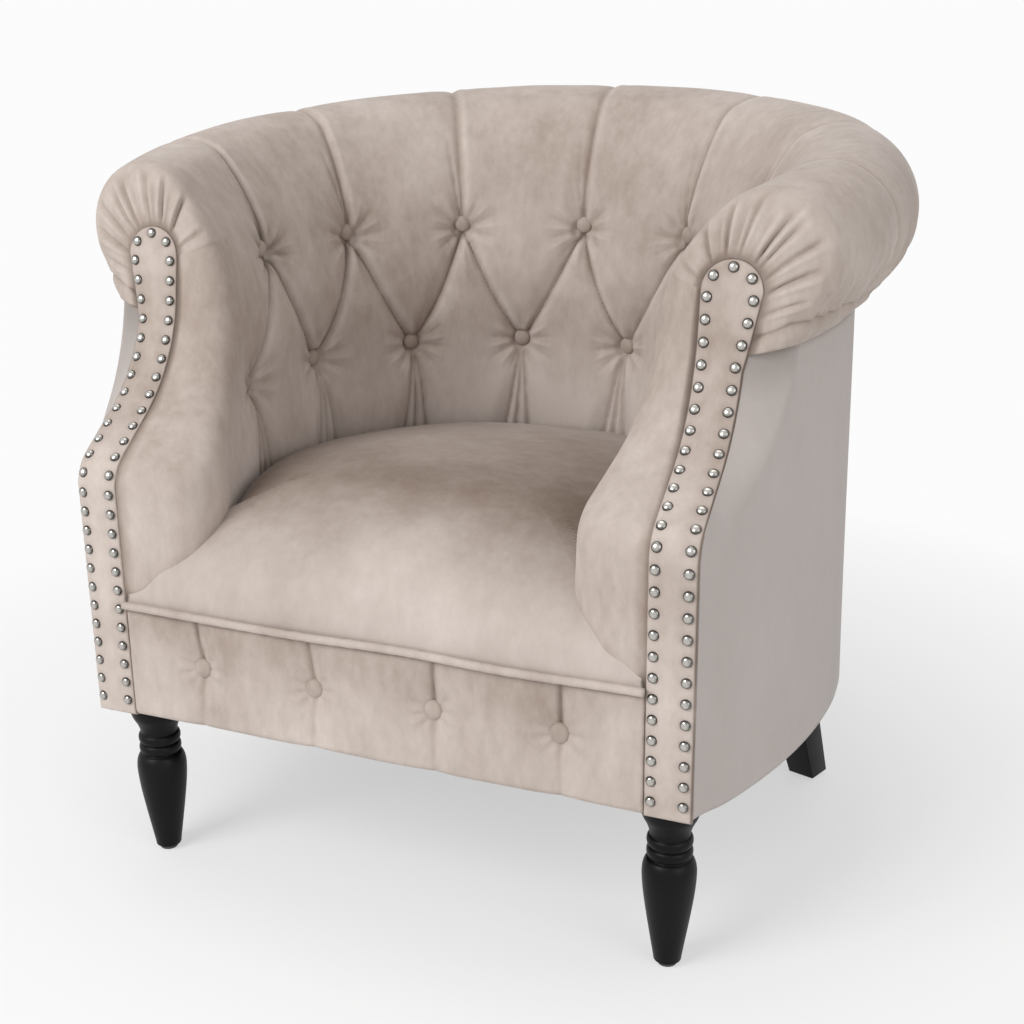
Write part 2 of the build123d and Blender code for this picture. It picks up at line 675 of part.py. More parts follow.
welt_z = SEAT_BOTTOM + SOFT_GAP
welt_y = SEAT_FRONT - SOFT_GAP - WELT_DIAMETER / 2
welt_half = FACING_INNER_X - APRON_END_GAP
with BuildPart() as seat_welt:
    with BuildSketch(Plane.YZ):
        with Locations((welt_y, welt_z)):
            Circle(WELT_DIAMETER / 2)
    extrude(amount=welt_half, both=True)
finish(seat_welt, "seat_welt")

# Front apron, drawn in under each button
apron_button_xs = [
    APRON_BUTTON_SPACING * (index - (APRON_BUTTON_COUNT - 1) / 2) for index in range(APRON_BUTTON_COUNT)
]
apron_pocket_y = FACING_FRONT + APRON_TUCK_DEPTH + BUTTON_POCKET_DEPTH
apron_seats = [
    Plane((x, apron_pocket_y, APRON_BUTTON_Z), x_dir=(1, 0, 0), z_dir=(0, -1, 0)).location
    for x in apron_button_xs
]

with BuildPart() as apron:
    with BuildSketch(Plane.XY.offset(BASE_Z)):
        tuck_y = FACING_FRONT + APRON_TUCK_DEPTH
        edges = [-welt_half, *apron_button_xs, welt_half]
        with BuildLine():
            for start_x, end_x in zip(edges, edges[1:]):
                crown_point = ((start_x + end_x) / 2, tuck_y - APRON_CROWN)
                ThreePointArc((start_x, tuck_y), crown_point, (end_x, tuck_y))
            Polyline(
                (-welt_half, tuck_y),
                (-welt_half, FRAME_FRONT),
                (welt_half, FRAME_FRONT),
                (welt_half, tuck_y),
            )
        make_face()
    extrude(amount=APRON_TOP - BASE_Z)
    with Locations(*apron_seats):
        Cylinder(
            BUTTON_DIAMETER / 2 + SOFT_GAP,
            APRON_TUCK_DEPTH + BUTTON_POCKET_DEPTH,
            align=(Align.CENTER, Align.CENTER, Align.MIN),
            mode=Mode.SUBTRACT,
        )
finish(apron, "front_apron")

with BuildPart() as apron_buttons:
    with Locations(*apron_seats):
        add(button.part)
finish(apron_buttons, "apron_buttons")

# Legs and what fixes them
front_leg_y = FACING_FRONT + FRONT_LEG_SETBACK
rear_top_y = FACING_FRONT + REAR_LEG_TOP_SETBACK
rear_foot_y = FACING_FRONT + REAR_LEG_FOOT_SETBACK


def rear_plane(side, z):
    """The level plane across a rear leg at z, turned to the leg's yaw."""
    share = (z - GLIDE_HEIGHT) / (PLATE_BOTTOM - GLIDE_HEIGHT)
    x = mix(REAR_LEG_FOOT_X, REAR_LEG_TOP_X, share)
    y = mix(rear_foot_y, rear_top_y, share)
    yaw = radians(-side * REAR_LEG_YAW)
    return Plane((side * x, y, z), x_dir=(cos(yaw), sin(yaw), 0), z_dir=(0, 0, 1))


def leg_tops(z):
    """The level planes over the four legs' tops at z."""
    fronts = [Plane((side * FRONT_LEG_X, front_leg_y, z)) for side in SIDES.values()]
    rears = []
    for side in SIDES.values():
        top = rear_plane(side, PLATE_BOTTOM)
        rears.append(Plane((top.origin.X, top.origin.Y, z), x_dir=top.x_dir, z_dir=top.z_dir))
    return fronts, rears


front_tops, rear_tops = leg_tops(PLATE_BOTTOM)
leg_places = [(plane.origin.X, plane.origin.Y) for plane in front_tops + rear_tops]

for name, side in SIDES.items():
    with BuildPart() as front_leg:
        with BuildSketch(Plane.XZ.offset(-front_leg_y)):
            with BuildLine():
                collar_side = Line((COLLAR_RADIUS, PLATE_BOTTOM), (COLLAR_RADIUS, BASE_Z - RING_HEIGHT))
                bell_end = (NECK_WAIST_RADIUS, COLLAR_FOOT_Z)
                bell_start = (COLLAR_RADIUS, BASE_Z)
                bell = ThreePointArc(collar_side @ 1, part_way(bell_start, bell_end, BELL_SHARES), bell_end)
                shoulder = Line(bell @ 1, (NECK_WAIST_RADIUS, RING_TOP_Z))
                bead = shoulder
                for index in range(RING_COUNT):
                    bead_top = RING_TOP_Z - index * RING_HEIGHT
                    bead = ThreePointArc(
                        bead @ 1,
                        (RING_RADIUS, bead_top - RING_HEIGHT / 2),
                        (NECK_WAIST_RADIUS, bead_top - RING_HEIGHT),
                    )
                bead_end = (NECK_WAIST_RADIUS, RING_TOP_Z - RING_COUNT * RING_HEIGHT)
                bulb = (BULB_RADIUS, BULB_Z)
                foot = (FOOT_RADIUS, GLIDE_HEIGHT)
                ThreePointArc(bead_end, part_way(bead_end, bulb, SWELL_SHARES), bulb)
                ThreePointArc(bulb, part_way(bulb, foot, SHANK_SHARES), foot)
                Polyline(foot, (0, GLIDE_HEIGHT), (0, PLATE_BOTTOM), collar_side @ 0)
            make_face()
        revolve(axis=Axis((0, front_leg_y, 0), (0, 0, 1)))
        with Locations((0, front_leg_y, PLATE_BOTTOM)):
            Hole(BOLT_RADIUS + FIT_GAP, BOLT_DEPTH + FIT_GAP)
    front_leg_placed = Pos(side * FRONT_LEG_X, 0, 0) * front_leg.part
    front_leg_placed.label = f"front_{name}_leg"
    export_step(front_leg_placed, f"parts/front_{name}_leg.step")

    with BuildPart() as rear_leg:
        with BuildSketch(rear_plane(side, GLIDE_HEIGHT)):
            Rectangle(REAR_LEG_FOOT_SIZE, REAR_LEG_FOOT_SIZE)
        with BuildSketch(rear_plane(side, PLATE_BOTTOM)):
            Rectangle(REAR_LEG_TOP_SIZE, REAR_LEG_TOP_SIZE)
        loft(ruled=True)
        with Locations(rear_plane(side, PLATE_BOTTOM).location):
            Hole(BOLT_RADIUS + FIT_GAP, BOLT_DEPTH + FIT_GAP)
    finish(rear_leg, f"rear_{name}_leg")

with BuildPart() as glides:
    for side in SIDES.values():
        for x, y in ((FRONT_LEG_X, front_leg_y), (REAR_LEG_FOOT_X, rear_foot_y)):
            with BuildSketch():
                with Locations((side * x, y)):
                    Circle(GLIDE_RADIUS)
            extrude(amount=GLIDE_HEIGHT)
finish(glides, "leg_glides")

# Base frame
block_top = PLATE_TOP + CORNER_BLOCK_HEIGHT
bolt_top = block_top + NUT_FLANGE_HEIGHT

with BuildPart() as base_plate:
    with BuildSketch(Plane.XY.offset(PLATE_BOTTOM)):
        with BuildLine():
            right_end, left_end = barrel_path(FRAME_INSET, RAKE_AT_BASE, FRAME_FRONT)
            Line(right_end, left_end)
        make_face()
        with BuildLine():
            opening_front = FRAME_FRONT + PLATE_FRONT_WIDTH
            opening_right, opening_left = barrel_path(FRAME_INSET + RING_WIDTH, RAKE_AT_BASE, opening_front)
            Line(opening_right, opening_left)
        make_face(mode=Mode.SUBTRACT)
        with Locations(*leg_places):
            Circle(BOLT_RADIUS + FIT_GAP, mode=Mode.SUBTRACT)
    extrude(amount=BASE_PLATE_THICKNESS)
finish(base_plate, "base_plate")

with BuildPart() as dust_cover:
    with BuildSketch(Plane.XY.offset(BASE_Z)):
        with BuildLine():
            right_end, left_end = barrel_path(FRAME_INSET, RAKE_AT_BASE, FRAME_FRONT)
            Line(right_end, left_end)
        make_face()
        with Locations(*leg_places[: len(front_tops)]):
            Circle(COLLAR_RADIUS + LEG_HOLE_GAP, mode=Mode.SUBTRACT)
        for plane, side in zip(rear_tops, SIDES.values()):
            with Locations(Location((plane.origin.X, plane.origin.Y, 0), (0, 0, -side * REAR_LEG_YAW))):
                Rectangle(
                    REAR_LEG_TOP_SIZE + 2 * LEG_HOLE_GAP,
                    REAR_LEG_TOP_SIZE + 2 * LEG_HOLE_GAP,
                    mode=Mode.SUBTRACT,
                )
    extrude(amount=DUST_COVER_THICKNESS)
finish(dust_cover, "dust_cover")

rail_half = FRONT_LEG_X - CORNER_BLOCK / 2
with BuildPart() as front_rail:
    with BuildSketch(Plane.XY.offset(PLATE_TOP)):
        with Locations((0, FRAME_FRONT + RAIL_THICKNESS / 2)):
            Rectangle(2 * rail_half, RAIL_THICKNESS)
    extrude(amount=SPRING_RAIL_TOP - PLATE_TOP)
finish(front_rail, "front_rail")

block_back = front_leg_y + CORNER_BLOCK / 2
side_rail_back = rear_top_y - CORNER_BLOCK
for name, side in SIDES.items():
    with BuildPart() as side_rail:
        with BuildSketch(Plane.XY.offset(PLATE_TOP)):
            with Locations((side * SIDE_RAIL_X, (block_back + side_rail_back) / 2)):
                Rectangle(SIDE_RAIL_THICKNESS, side_rail_back - block_back)
        extrude(amount=PAD_FOOT_Z - PLATE_TOP)
    finish(side_rail, f"{name}_side_rail")

# The back rail is sawn to the curve of the barrel
with BuildPart() as back_rail:
    with BuildSketch(Plane.XY.offset(PLATE_TOP)):
        start_angle = 90 - BACK_RAIL_HALF_ANGLE
        with BuildLine():
            arc_size = 2 * BACK_RAIL_HALF_ANGLE
            outer = CenterArc((0, BARREL_Y), BACK_RAIL_RADIUS + RAIL_THICKNESS, start_angle, arc_size)
            inner = CenterArc((0, BARREL_Y), BACK_RAIL_RADIUS, start_angle, arc_size)
            Line(outer @ 0, inner @ 0)
            Line(outer @ 1, inner @ 1)
        make_face()
    extrude(amount=SPRING_RAIL_TOP - PLATE_TOP)
finish(back_rail, "back_rail")

block_names = [f"{end}_{name}_corner_block" for end in ("front", "rear") for name in SIDES]
for name, plane in zip(block_names, front_tops + rear_tops):
    block_plane = plane.offset(PLATE_TOP - PLATE_BOTTOM)
    with BuildPart() as corner_block:
        with BuildSketch(block_plane):
            Rectangle(CORNER_BLOCK, CORNER_BLOCK)
            Circle(BOLT_RADIUS + FIT_GAP, mode=Mode.SUBTRACT)
        extrude(amount=CORNER_BLOCK_HEIGHT)
        with BuildSketch(block_plane.offset(CORNER_BLOCK_HEIGHT - NUT_BARREL_LENGTH)):
            Circle(NUT_BARREL_RADIUS + FIT_GAP)
        extrude(amount=NUT_BARREL_LENGTH, mode=Mode.SUBTRACT)
    finish(corner_block, name)

with BuildPart() as leg_bolts:
    for plane in front_tops + rear_tops:
        with BuildSketch(plane.offset(-BOLT_DEPTH)):
            Circle(BOLT_RADIUS)
        extrude(amount=bolt_top - PLATE_BOTTOM + BOLT_DEPTH)
finish(leg_bolts, "leg_bolts")

with BuildPart() as tee_nuts:
    for plane in front_tops + rear_tops:
        with BuildSketch(plane.offset(block_top - PLATE_BOTTOM)):
            Circle(NUT_FLANGE_RADIUS)
            Circle(BOLT_RADIUS + FIT_GAP, mode=Mode.SUBTRACT)
        extrude(amount=NUT_FLANGE_HEIGHT)
        with BuildSketch(plane.offset(block_top - PLATE_BOTTOM)):
            Circle(NUT_BARREL_RADIUS)
            Circle(BOLT_RADIUS + FIT_GAP, mode=Mode.SUBTRACT)
        extrude(amount=-NUT_BARREL_LENGTH)
finish(tee_nuts, "tee_nuts")

# Uprights lean with the barrel and carry the hoop under the roll
upright_angles = [90 + UPRIGHT_STEP * (index - (UPRIGHT_COUNT - 1) / 2) for index in range(UPRIGHT_COUNT)]


def upright_section(angle, z):
    """The level section of an upright at an angle round the barrel."""
    share = (z - BASE_Z) / (SEAM_Z - BASE_Z)
    radius = BARREL_RADIUS - UPRIGHT_INSET - SEAM_INSET * share - UPRIGHT_DEPTH / 2
    out_x = cos(radians(angle))
    out_y = sin(radians(angle))
    origin = (radius * out_x, BARREL_Y + rake(z) + radius * out_y, z)
    with BuildSketch(Plane(origin, x_dir=(out_x, out_y, 0), z_dir=(0, 0, 1))) as section:
        Rectangle(UPRIGHT_DEPTH, UPRIGHT_WIDTH)
    return section.sketch


with BuildPart() as uprights:
    for angle in upright_angles:
        loft([upright_section(angle, PLATE_TOP), upright_section(angle, HOOP_BOTTOM)], ruled=True)
finish(uprights, "back_uprights")

with BuildPart() as top_hoop:
    hoop_inset = SEAM_INSET + FRAME_INSET
    extrude(
        barrel_band(HOOP_BOTTOM, rake(HOOP_BOTTOM), hoop_inset, HOOP_WIDTH, FACING_FRONT),
        amount=HOOP_THICKNESS,
    )
    former_back = FACING_THICKNESS + FORMER_THICKNESS
    extrude(space_ahead(0, former_back), amount=BEYOND, both=True, mode=Mode.SUBTRACT)
finish(top_hoop, "top_hoop")

# Sinuous springs from the front rail to the back rail, with their clips and the felt deck on top
spring_z = SPRING_RAIL_TOP + SPRING_WIRE / 2
spring_front = FRAME_FRONT + SPRING_END_MARGIN
spring_xs = [SPRING_SPACING * (index - (SPRING_COUNT - 1) / 2) for index in range(SPRING_COUNT)]


def spring_back(x):
    """Where a spring at x ends on the curved back rail."""
    return BARREL_Y + sqrt((BACK_RAIL_RADIUS + RAIL_THICKNESS - SPRING_END_MARGIN) ** 2 - x**2)


def spring_points(x):
    """Corners of a sinuous spring's zigzag."""
    length = spring_back(x) - spring_front
    waves = int(length / SPRING_PITCH) - 1
    first_y = spring_front + (length - (waves - 1) * SPRING_PITCH) / 2
    points = [(x, spring_front), (x, first_y)]
    swing = SPRING_HALF_WIDTH
    for index in range(waves - 1):
        y = first_y + index * SPRING_PITCH
        points += [(x + swing, y), (x + swing, y + SPRING_PITCH)]
        swing = -swing
    points += [(x, points[-1][1]), (x, spring_back(x))]
    return points


with BuildPart() as springs:
    for x in spring_xs:
        with BuildLine(Plane.XY.offset(spring_z)) as wire_path:
            FilletPolyline(*spring_points(x), radius=SPRING_BEND_RADIUS)
        with BuildSketch(Plane((x, spring_front, spring_z), x_dir=(1, 0, 0), z_dir=(0, 1, 0))):
            Circle(SPRING_WIRE / 2)
        sweep(path=wire_path.wire())
finish(springs, "seat_springs")

clip_width, clip_depth, clip_height = CLIP_SIZE
with BuildPart() as clips:
    for x in spring_xs:
        for end_y, direction in ((spring_front, -1), (spring_back(x), 1)):
            with BuildSketch(Plane.XY.offset(SPRING_RAIL_TOP)):
                with Locations((x, end_y + direction * clip_depth / 2)):
                    Rectangle(clip_width, clip_depth)
            extrude(amount=clip_height)
finish(clips, "spring_clips")

deck_z = SPRING_RAIL_TOP + SPRING_WIRE
with BuildPart() as seat_deck:
    with BuildSketch(Plane.XY.offset(deck_z)):
        deck_front = spring_front + SPRING_END_MARGIN
        with BuildLine():
            right_end, left_end = barrel_path(BACK_RAIL_INSET, 0, deck_front)
            Line(right_end, left_end)
        make_face()
    extrude(amount=PAD_FOOT_Z - SOFT_GAP - deck_z)
finish(seat_deck, "seat_deck")
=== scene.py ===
"""Dress the barrel-backed club chair in velvet, black lacquer and nickel, and set up its studio.

Metres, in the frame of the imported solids: the origin is on the floor under the middle of the chair,
and the chair faces -Y. A setback is a distance behind the front plane of the arm facings.
An inset is a distance inside the barrel, the curved outside of the chair seen from above.
"""

import json

import bpy
import numpy as np
from mathutils import Matrix, Vector


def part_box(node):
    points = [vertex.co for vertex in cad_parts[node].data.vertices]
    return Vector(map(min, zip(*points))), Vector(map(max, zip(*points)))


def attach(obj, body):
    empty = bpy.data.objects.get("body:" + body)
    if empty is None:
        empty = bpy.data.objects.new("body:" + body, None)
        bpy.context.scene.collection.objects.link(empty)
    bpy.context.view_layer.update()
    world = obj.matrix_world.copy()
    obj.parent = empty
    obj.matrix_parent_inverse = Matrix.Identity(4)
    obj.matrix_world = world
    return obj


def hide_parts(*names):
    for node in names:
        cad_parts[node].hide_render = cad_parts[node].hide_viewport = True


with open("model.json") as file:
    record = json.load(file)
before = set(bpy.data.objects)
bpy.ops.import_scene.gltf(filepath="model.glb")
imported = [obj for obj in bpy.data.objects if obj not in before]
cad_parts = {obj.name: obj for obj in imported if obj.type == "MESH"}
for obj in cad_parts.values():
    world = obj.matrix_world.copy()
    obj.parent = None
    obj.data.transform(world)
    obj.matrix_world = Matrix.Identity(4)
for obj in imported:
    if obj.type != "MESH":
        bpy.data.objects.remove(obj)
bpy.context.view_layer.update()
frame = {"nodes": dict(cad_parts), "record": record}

bl_info = {
    "name": "Tufted Club Chair",
    "version": (1, 0, 0),
    "blender": (4, 5, 0),
    "location": "3D View > Sidebar > Chair",
    "description": "Upholsters, finishes and lights the packed club chair",
    "category": "Object",
}

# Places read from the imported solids
FACING_LOW, FACING_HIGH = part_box("right_arm_facing")
COVER_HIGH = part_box("outside_cover")[1]
SEAT_LOW, SEAT_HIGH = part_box("seat_cushion")
WELT_LOW, WELT_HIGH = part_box("seat_welt")
APRON_LOW, APRON_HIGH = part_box("front_apron")
FRONT_LEG_LOW, FRONT_LEG_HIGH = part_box("front_right_leg")
DUST_LOW, DUST_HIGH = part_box("dust_cover")
FRONT_Y = FACING_LOW.y
BASE_Z = FACING_LOW.z
INNER_X = FACING_LOW.x
SEAM_Z = COVER_HIGH.z
SIDES = (("right", 1), ("left", -1))

# Barrel seen from above
BARREL_RADIUS = COVER_HIGH.x
BARREL_SIDE_RADIUS = 0.689
ARM_RUN = 0.290
BARREL_Y = FRONT_Y + ARM_RUN
RAKE_AT_BASE = -0.013
RAKE_AT_SEAM = 0.022
COVER_DRAW_IN = 0.008

# Arm facing
FACING_WIDTH = 0.045
FACING_FLARE = 0.013
FLARE_Z = 0.560
CAP_RADIUS = 0.029
CAP_X = INNER_X + CAP_RADIUS
CAP_Z = FACING_HIGH.z - CAP_RADIUS
KNEE_Z = 0.418
KNEE_RADIUS = 0.040
SLOPE = np.radians(36.0)
SLOPE_LENGTH = 0.0538
NECK_RADIUS = 0.164
NECK_SLOPE = np.radians(82.0)

# Padding of a facing: margin from its outline and rise of each ring, the margin of its painted shadow
# along the edge, how far it is sunk so that the nails stand proud, and the dimple round a nail
FACING_PROFILE = (
    (0.0, -0.006),
    (0.0, -0.0024),
    (0.0006, -0.0010),
    (0.002, 0.0002),
    (0.004, 0.0009),
    (0.0065, 0.0014),
    (0.010, 0.0018),
    (0.014, 0.0021),
    (0.018, 0.0023),
    (0.0215, 0.0024),
)
FACING_EDGE = 0.001
FACING_SUNK = 0.0012
NAIL_DIMPLE = 0.0011
NAIL_DIMPLE_REACH = 0.0075

# Pad sections: inset at the lower and upper buttons, and the roll's inset, height and radius
ARM_INSETS = (0.143, 0.132)
BACK_INSETS = (0.146, 0.123)
ROLL_FRONT = np.array([0.041, 0.652, 0.062])
ROLL_SIDE = np.array([0.0259, 0.665, 0.066])
ROLL_BACK = np.array([0.0027, 0.6883, 0.080])
ROLL_ANGLES = (112.5, 90, 67.5, 45, 22.5, 0, -22, -42)
LOWER_Z = 0.480
UPPER_Z = 0.614
FACE_TOP_Z = 0.640
PAD_FOOT_Z = 0.285
RING_RADIUS = 0.262
HALF_SPACING = 0.070
LOWER_STEPS = range(-7, 8, 2)
UPPER_STEPS = range(-6, 7, 2)
QUARTER_RUN = RING_RADIUS * np.pi / 2
FULL_RUN = QUARTER_RUN + ARM_RUN

# How far the pad's face swells past the buttons' insets: at three heights below the buttons,
# level with a button, between the two rows, and inward and up on the way to the roll's shoulder
FOOT_SWELLS = ((0.004, PAD_FOOT_Z - 0.03), (0.007, 0.365), (0.005, 0.430))
BUTTON_SWELL = 0.003
DIAMOND_SWELL = 0.006
SHOULDER_SWELL = np.array([-0.006, 0.002])
SHOULDER_ANGLE = 135

# Where the pad ends behind the outside cover: inset and overlap at the seam, then its hidden heel
SEAM_INSET = 0.006
SEAM_OVERLAP = 0.003
HEEL_INSETS = (0.030, 0.066)
HEEL_DROP = 0.025

# Rows and columns of the pad's mesh; the rows behind match the face's rows below the seam
FACE_ROWS = 170
ROLL_ROWS = 104
COLUMN_STEP = 0.0020
FACE_HEIGHTS = np.linspace(PAD_FOOT_Z, FACE_TOP_Z, FACE_ROWS)
HIDDEN_HEIGHTS = FACE_HEIGHTS[FACE_HEIGHTS < SEAM_Z - 0.004][::-1]
HIDDEN_ROWS = len(HIDDEN_HEIGHTS)

# Tuft at a button: how much wider than high its hollow is, the flat below the button as its full
# and outer radius, and the fine puckers that ring it
DIMPLE_SQUEEZE = 0.92
BUTTON_FLAT = (0.0085, 0.0135)
PUCKER_COUNT = 9
PUCKER_TURN = 1.7
PUCKER_RADIUS = 0.022
PUCKER_WIDTH = 0.014
PUCKER_DEPTH = 0.0017

# Pleats along the diamonds: bow and share of depth left halfway, widths of the soft valley and of
# the sharp fold in it, the raised lip beside it, and the twin fold that shows near the buttons
DIAMOND_BOW = 0.006
DIAMOND_MIDDLE = 0.72
DIAMOND_VALLEY = 0.019
DIAMOND_FOLD = 0.0025
LIP_AWAY = 0.0075
LIP_WIDTH = 0.005
LIP_HEIGHT = 0.0016
TWIN_BOW = 3.2
TWIN_DEPTH = 0.42
TWIN_FOLD = 0.0022

# Slack pleats below a lower button
SLACK_DROP = 0.120
SLACK_SPREADS = (-0.024, -0.007, 0.012)
SLACK_BOW = 0.002
SLACK_VALLEY = 0.017
SLACK_VALLEY_DEPTH = 0.55
SLACK_FOLD = 0.0026
SLACK_FOLD_DEPTH = 0.75

# Long pleat from an upper button over the roll, its sway from side to side, and the short pleats
# beside it, as slant, strength and reach over the roll
LONG_SWAY = 0.004
LONG_VALLEY = 0.017
LONG_VALLEY_DEPTH = 0.62
LONG_FOLD = 0.0028
LONG_FOLD_DEPTH = 0.8
LONG_LIP_AWAY = 0.007
LONG_LIP_WIDTH = 0.004
LONG_LIP_HEIGHT = 0.9
SIDE_PLEATS = ((-0.16, 0.55, 0.30), (0.13, 0.40, 0.16), (-0.34, 0.30, 0.10))
SIDE_FOLD = 0.0023

# Seam under the roll: its place as a share of the way over, its depth, the swell below it and the
# pulls that run into it
HEM_PLACE = 0.925
HEM_WIDTH = 0.008
HEM_DEPTH = 0.0040
HEM_SWELL_PLACE = 0.962
HEM_SWELL_WIDTH = 0.022
HEM_SWELL = 0.0022
PULL_DEPTH = 0.0024

# Rounded front ends of the pad: length with finer columns, how square the arm and roll are, then
# the fit to the facing's cap, to its outer edge below the cap and behind the outside cover
TIP_LENGTH = 0.036
ARM_ROUNDNESS = 2.0
ROLL_ROUNDNESS = 2.5
CAP_GAP = 0.0003
CAP_SHARE = 0.74
EDGE_GAP = 0.0008
EDGE_DROP = 0.006
HIDDEN_EDGE_INSET = 0.006

# Shading painted on the pad, lighter where positive and darker where negative: a painted highlight on
# the lips and over the roll, painted light below the buttons and on the low back, painted shade in
# the folds, dimples and gathers, on the puckers, at the hem, under the roll, at the arms' last
# buttons and where the pad meets the seat, a painted shadow by the facing, and darker at the arm
# fronts
PAINTED_HIGHLIGHT_ON_LIP = 0.65
PAINTED_SHADE_IN_FOLD = -1.35
PAINTED_SHADE_IN_DIMPLE = -0.75
PAINTED_SHADING_ON_PUCKER = -0.25
PAINTED_LIGHT_BELOW_BUTTONS = 0.60
PAINTED_LIGHT_LOW_BACK = 0.40
PAINTED_SHADE_IN_GATHER = -0.95
PAINTED_SHADOW_BY_FACING = -1.1
DARKER_AT_ARM_FRONT = -0.30
PAINTED_SHADE_AT_ARM_BUTTON = -0.60
PAINTED_SHADE_AT_HEM = -0.9
PAINTED_HIGHLIGHT_OVER_ROLL = 0.22
PAINTED_SHADE_UNDER_ROLL = -0.25
PAINTED_SHADE_AT_SEAT = -0.75

# Seat crown, as setbacks from the seat's front, and the height of the hidden foot
SEAT_NOSE = 0.190
SEAT_REAR_RUN = 0.348
SEAT_REAR_FALL = 0.056
SEAT_CENTRE = np.array([0.0, -0.10])
SEAT_FOOT_Z = 0.2445
SEAT_FRONT_RISE = 0.016

# Seat's gap to the facings, press into the back pad, setback where the arms have closed in on it,
# rounding of its tucked edges, height of its ripples and pulls, and its painted light in front and
# painted shade on top
SEAT_GAP = 0.0015
SEAT_PRESSED = 0.0065
SEAT_NARROW = 0.078
SEAT_TUCK = 0.018
SEAT_RIPPLE = 0.0018
SEAT_PULL = 0.0016
SEAT_PAINTED_LIGHT_AND_SHADE = (0.55, -0.64)

# Buttons and nails
APRON_BUTTON_XS = (-0.1899, -0.0633, 0.0633, 0.1899)
APRON_BUTTON_Z = 0.242
BUTTON_RIM = 0.0030
BUTTON_SUNK = 0.0015
NAIL_RIM = 0.0006
NAIL_SUNK = 0.0004
# How dark the painted reflection is at a nailhead's rim
NAIL_PAINTED_DARK_RIM = 0.92
NAIL_SPACING = 0.020
NAIL_INSET = 0.0075
NAIL_START = 0.017

# Welt's reach under the facings; the apron's gap to them, overlap behind the welt and set below
# their face, its folds at the buttons, and its painted light at the foot and painted shadow under the
# welt
WELT_OVERLAP = 0.0005
APRON_GAP = 0.0002
APRON_OVERLAP = 0.004
APRON_SUNK = 0.0005
APRON_BUTTON_SUNK = 0.004
APRON_DIMPLE = 0.022
APRON_VALLEY = 0.018
APRON_VALLEY_DEPTH = 0.0042
APRON_FOLD = 0.0030
APRON_FOLD_DEPTH = 0.0040
APRON_PAINTED_LIGHT_AND_SHADOW = (0.38, -0.42)

# Outside cover's turn from a facing's edge to the barrel, its painted shade in that turn and below
# the roll, and its turn under the foot; then the dust cloth's margin and sag
COVER_TURN = 0.050
COVER_TURN_SHADE = -0.72
COVER_SEAM_SHADE = -0.35
COVER_UNDER = 0.012
CLOTH_INSET = 0.0070
CLOTH_SAG = 0.004
CLOTH_RINGS = 15

# Front leg's beads: heights, core radius, swell and half height
BEAD_ZS = (0.12125, 0.13275)
BEAD_CORE = 0.0190
BEAD_SWELL = 0.0029
BEAD_HALF = 0.0055

# Rear legs: yaw, and half spacing and setback at the floor and at the frame
REAR_YAW = np.radians(-17.5)
REAR_XS = (0.319, 0.295)
REAR_SETBACKS = (0.475, 0.415)
REAR_EASE = 0.0022
REAR_SQUARE = 0.046

# How strongly the nap is mottled, where it is less than on the arms and back
PANEL_BRUSHED = 0.55
SEAT_BRUSHED = 0.4

# Camera that took the photograph
CAMERA_PLACE = Vector((0.6605, -1.5489, 0.8777))
CAMERA_TARGET = Vector((0.01907, -0.06942, 0.34108))
CAMERA_ROLL = np.radians(-0.606)
CAMERA_LENS = 55.1
SENSOR_WIDTH = 36.0

# Studio: aim and place, width and power of each lamp, light from all round and the white ground
LAMP_TARGET = Vector((0.0, 0.0, 0.4))
LAMPS = {
    "key": ((-1.2, -2.5, 2.1), 1.6, 64.0),
    "fill": ((2.6, -1.5, 1.4), 2.0, 24.0),
    "top": ((-0.3, 0.5, 3.0), 2.0, 14.0),
}
ROOM_LIGHT = 0.41
WHITE_GROUND = 0.97
FLOOR_REACH = 14.0
FLOOR_WHITE_PER_METRE = 0.62
FLOOR_WHITE_AT_ORIGIN = 0.30
FLOOR_WHITE_LEAST = 0.55


def mix(start, end, share):
    """The value a share of the way from start to end."""
    return start + (end - start) * share


def ramp(low, high, value):
    """A smooth rise from 0 at low to 1 at high."""
    share = np.clip((value - low) / (high - low), 0, 1)
    return share * share * (3 - 2 * share)


def bell(distance, width):
    """A rounded hump that is 1 at no distance."""
    return np.exp(-((distance / width) ** 2))


def fold(distance, width):
    """A sharp-bottomed dip that is 1 at no distance."""
    return np.exp(-np.abs(distance) / width)


def barrel_half(y):
    """Half width of the barrel's long side arc at y."""
    return BARREL_RADIUS - BARREL_SIDE_RADIUS + np.sqrt(BARREL_SIDE_RADIUS**2 - (y - BARREL_Y) ** 2)


def rake(z):
    """How far the barrel's back leans to the rear at a height."""
    return mix(RAKE_AT_BASE, RAKE_AT_SEAM, (z - BASE_Z) / (SEAM_Z - BASE_Z))


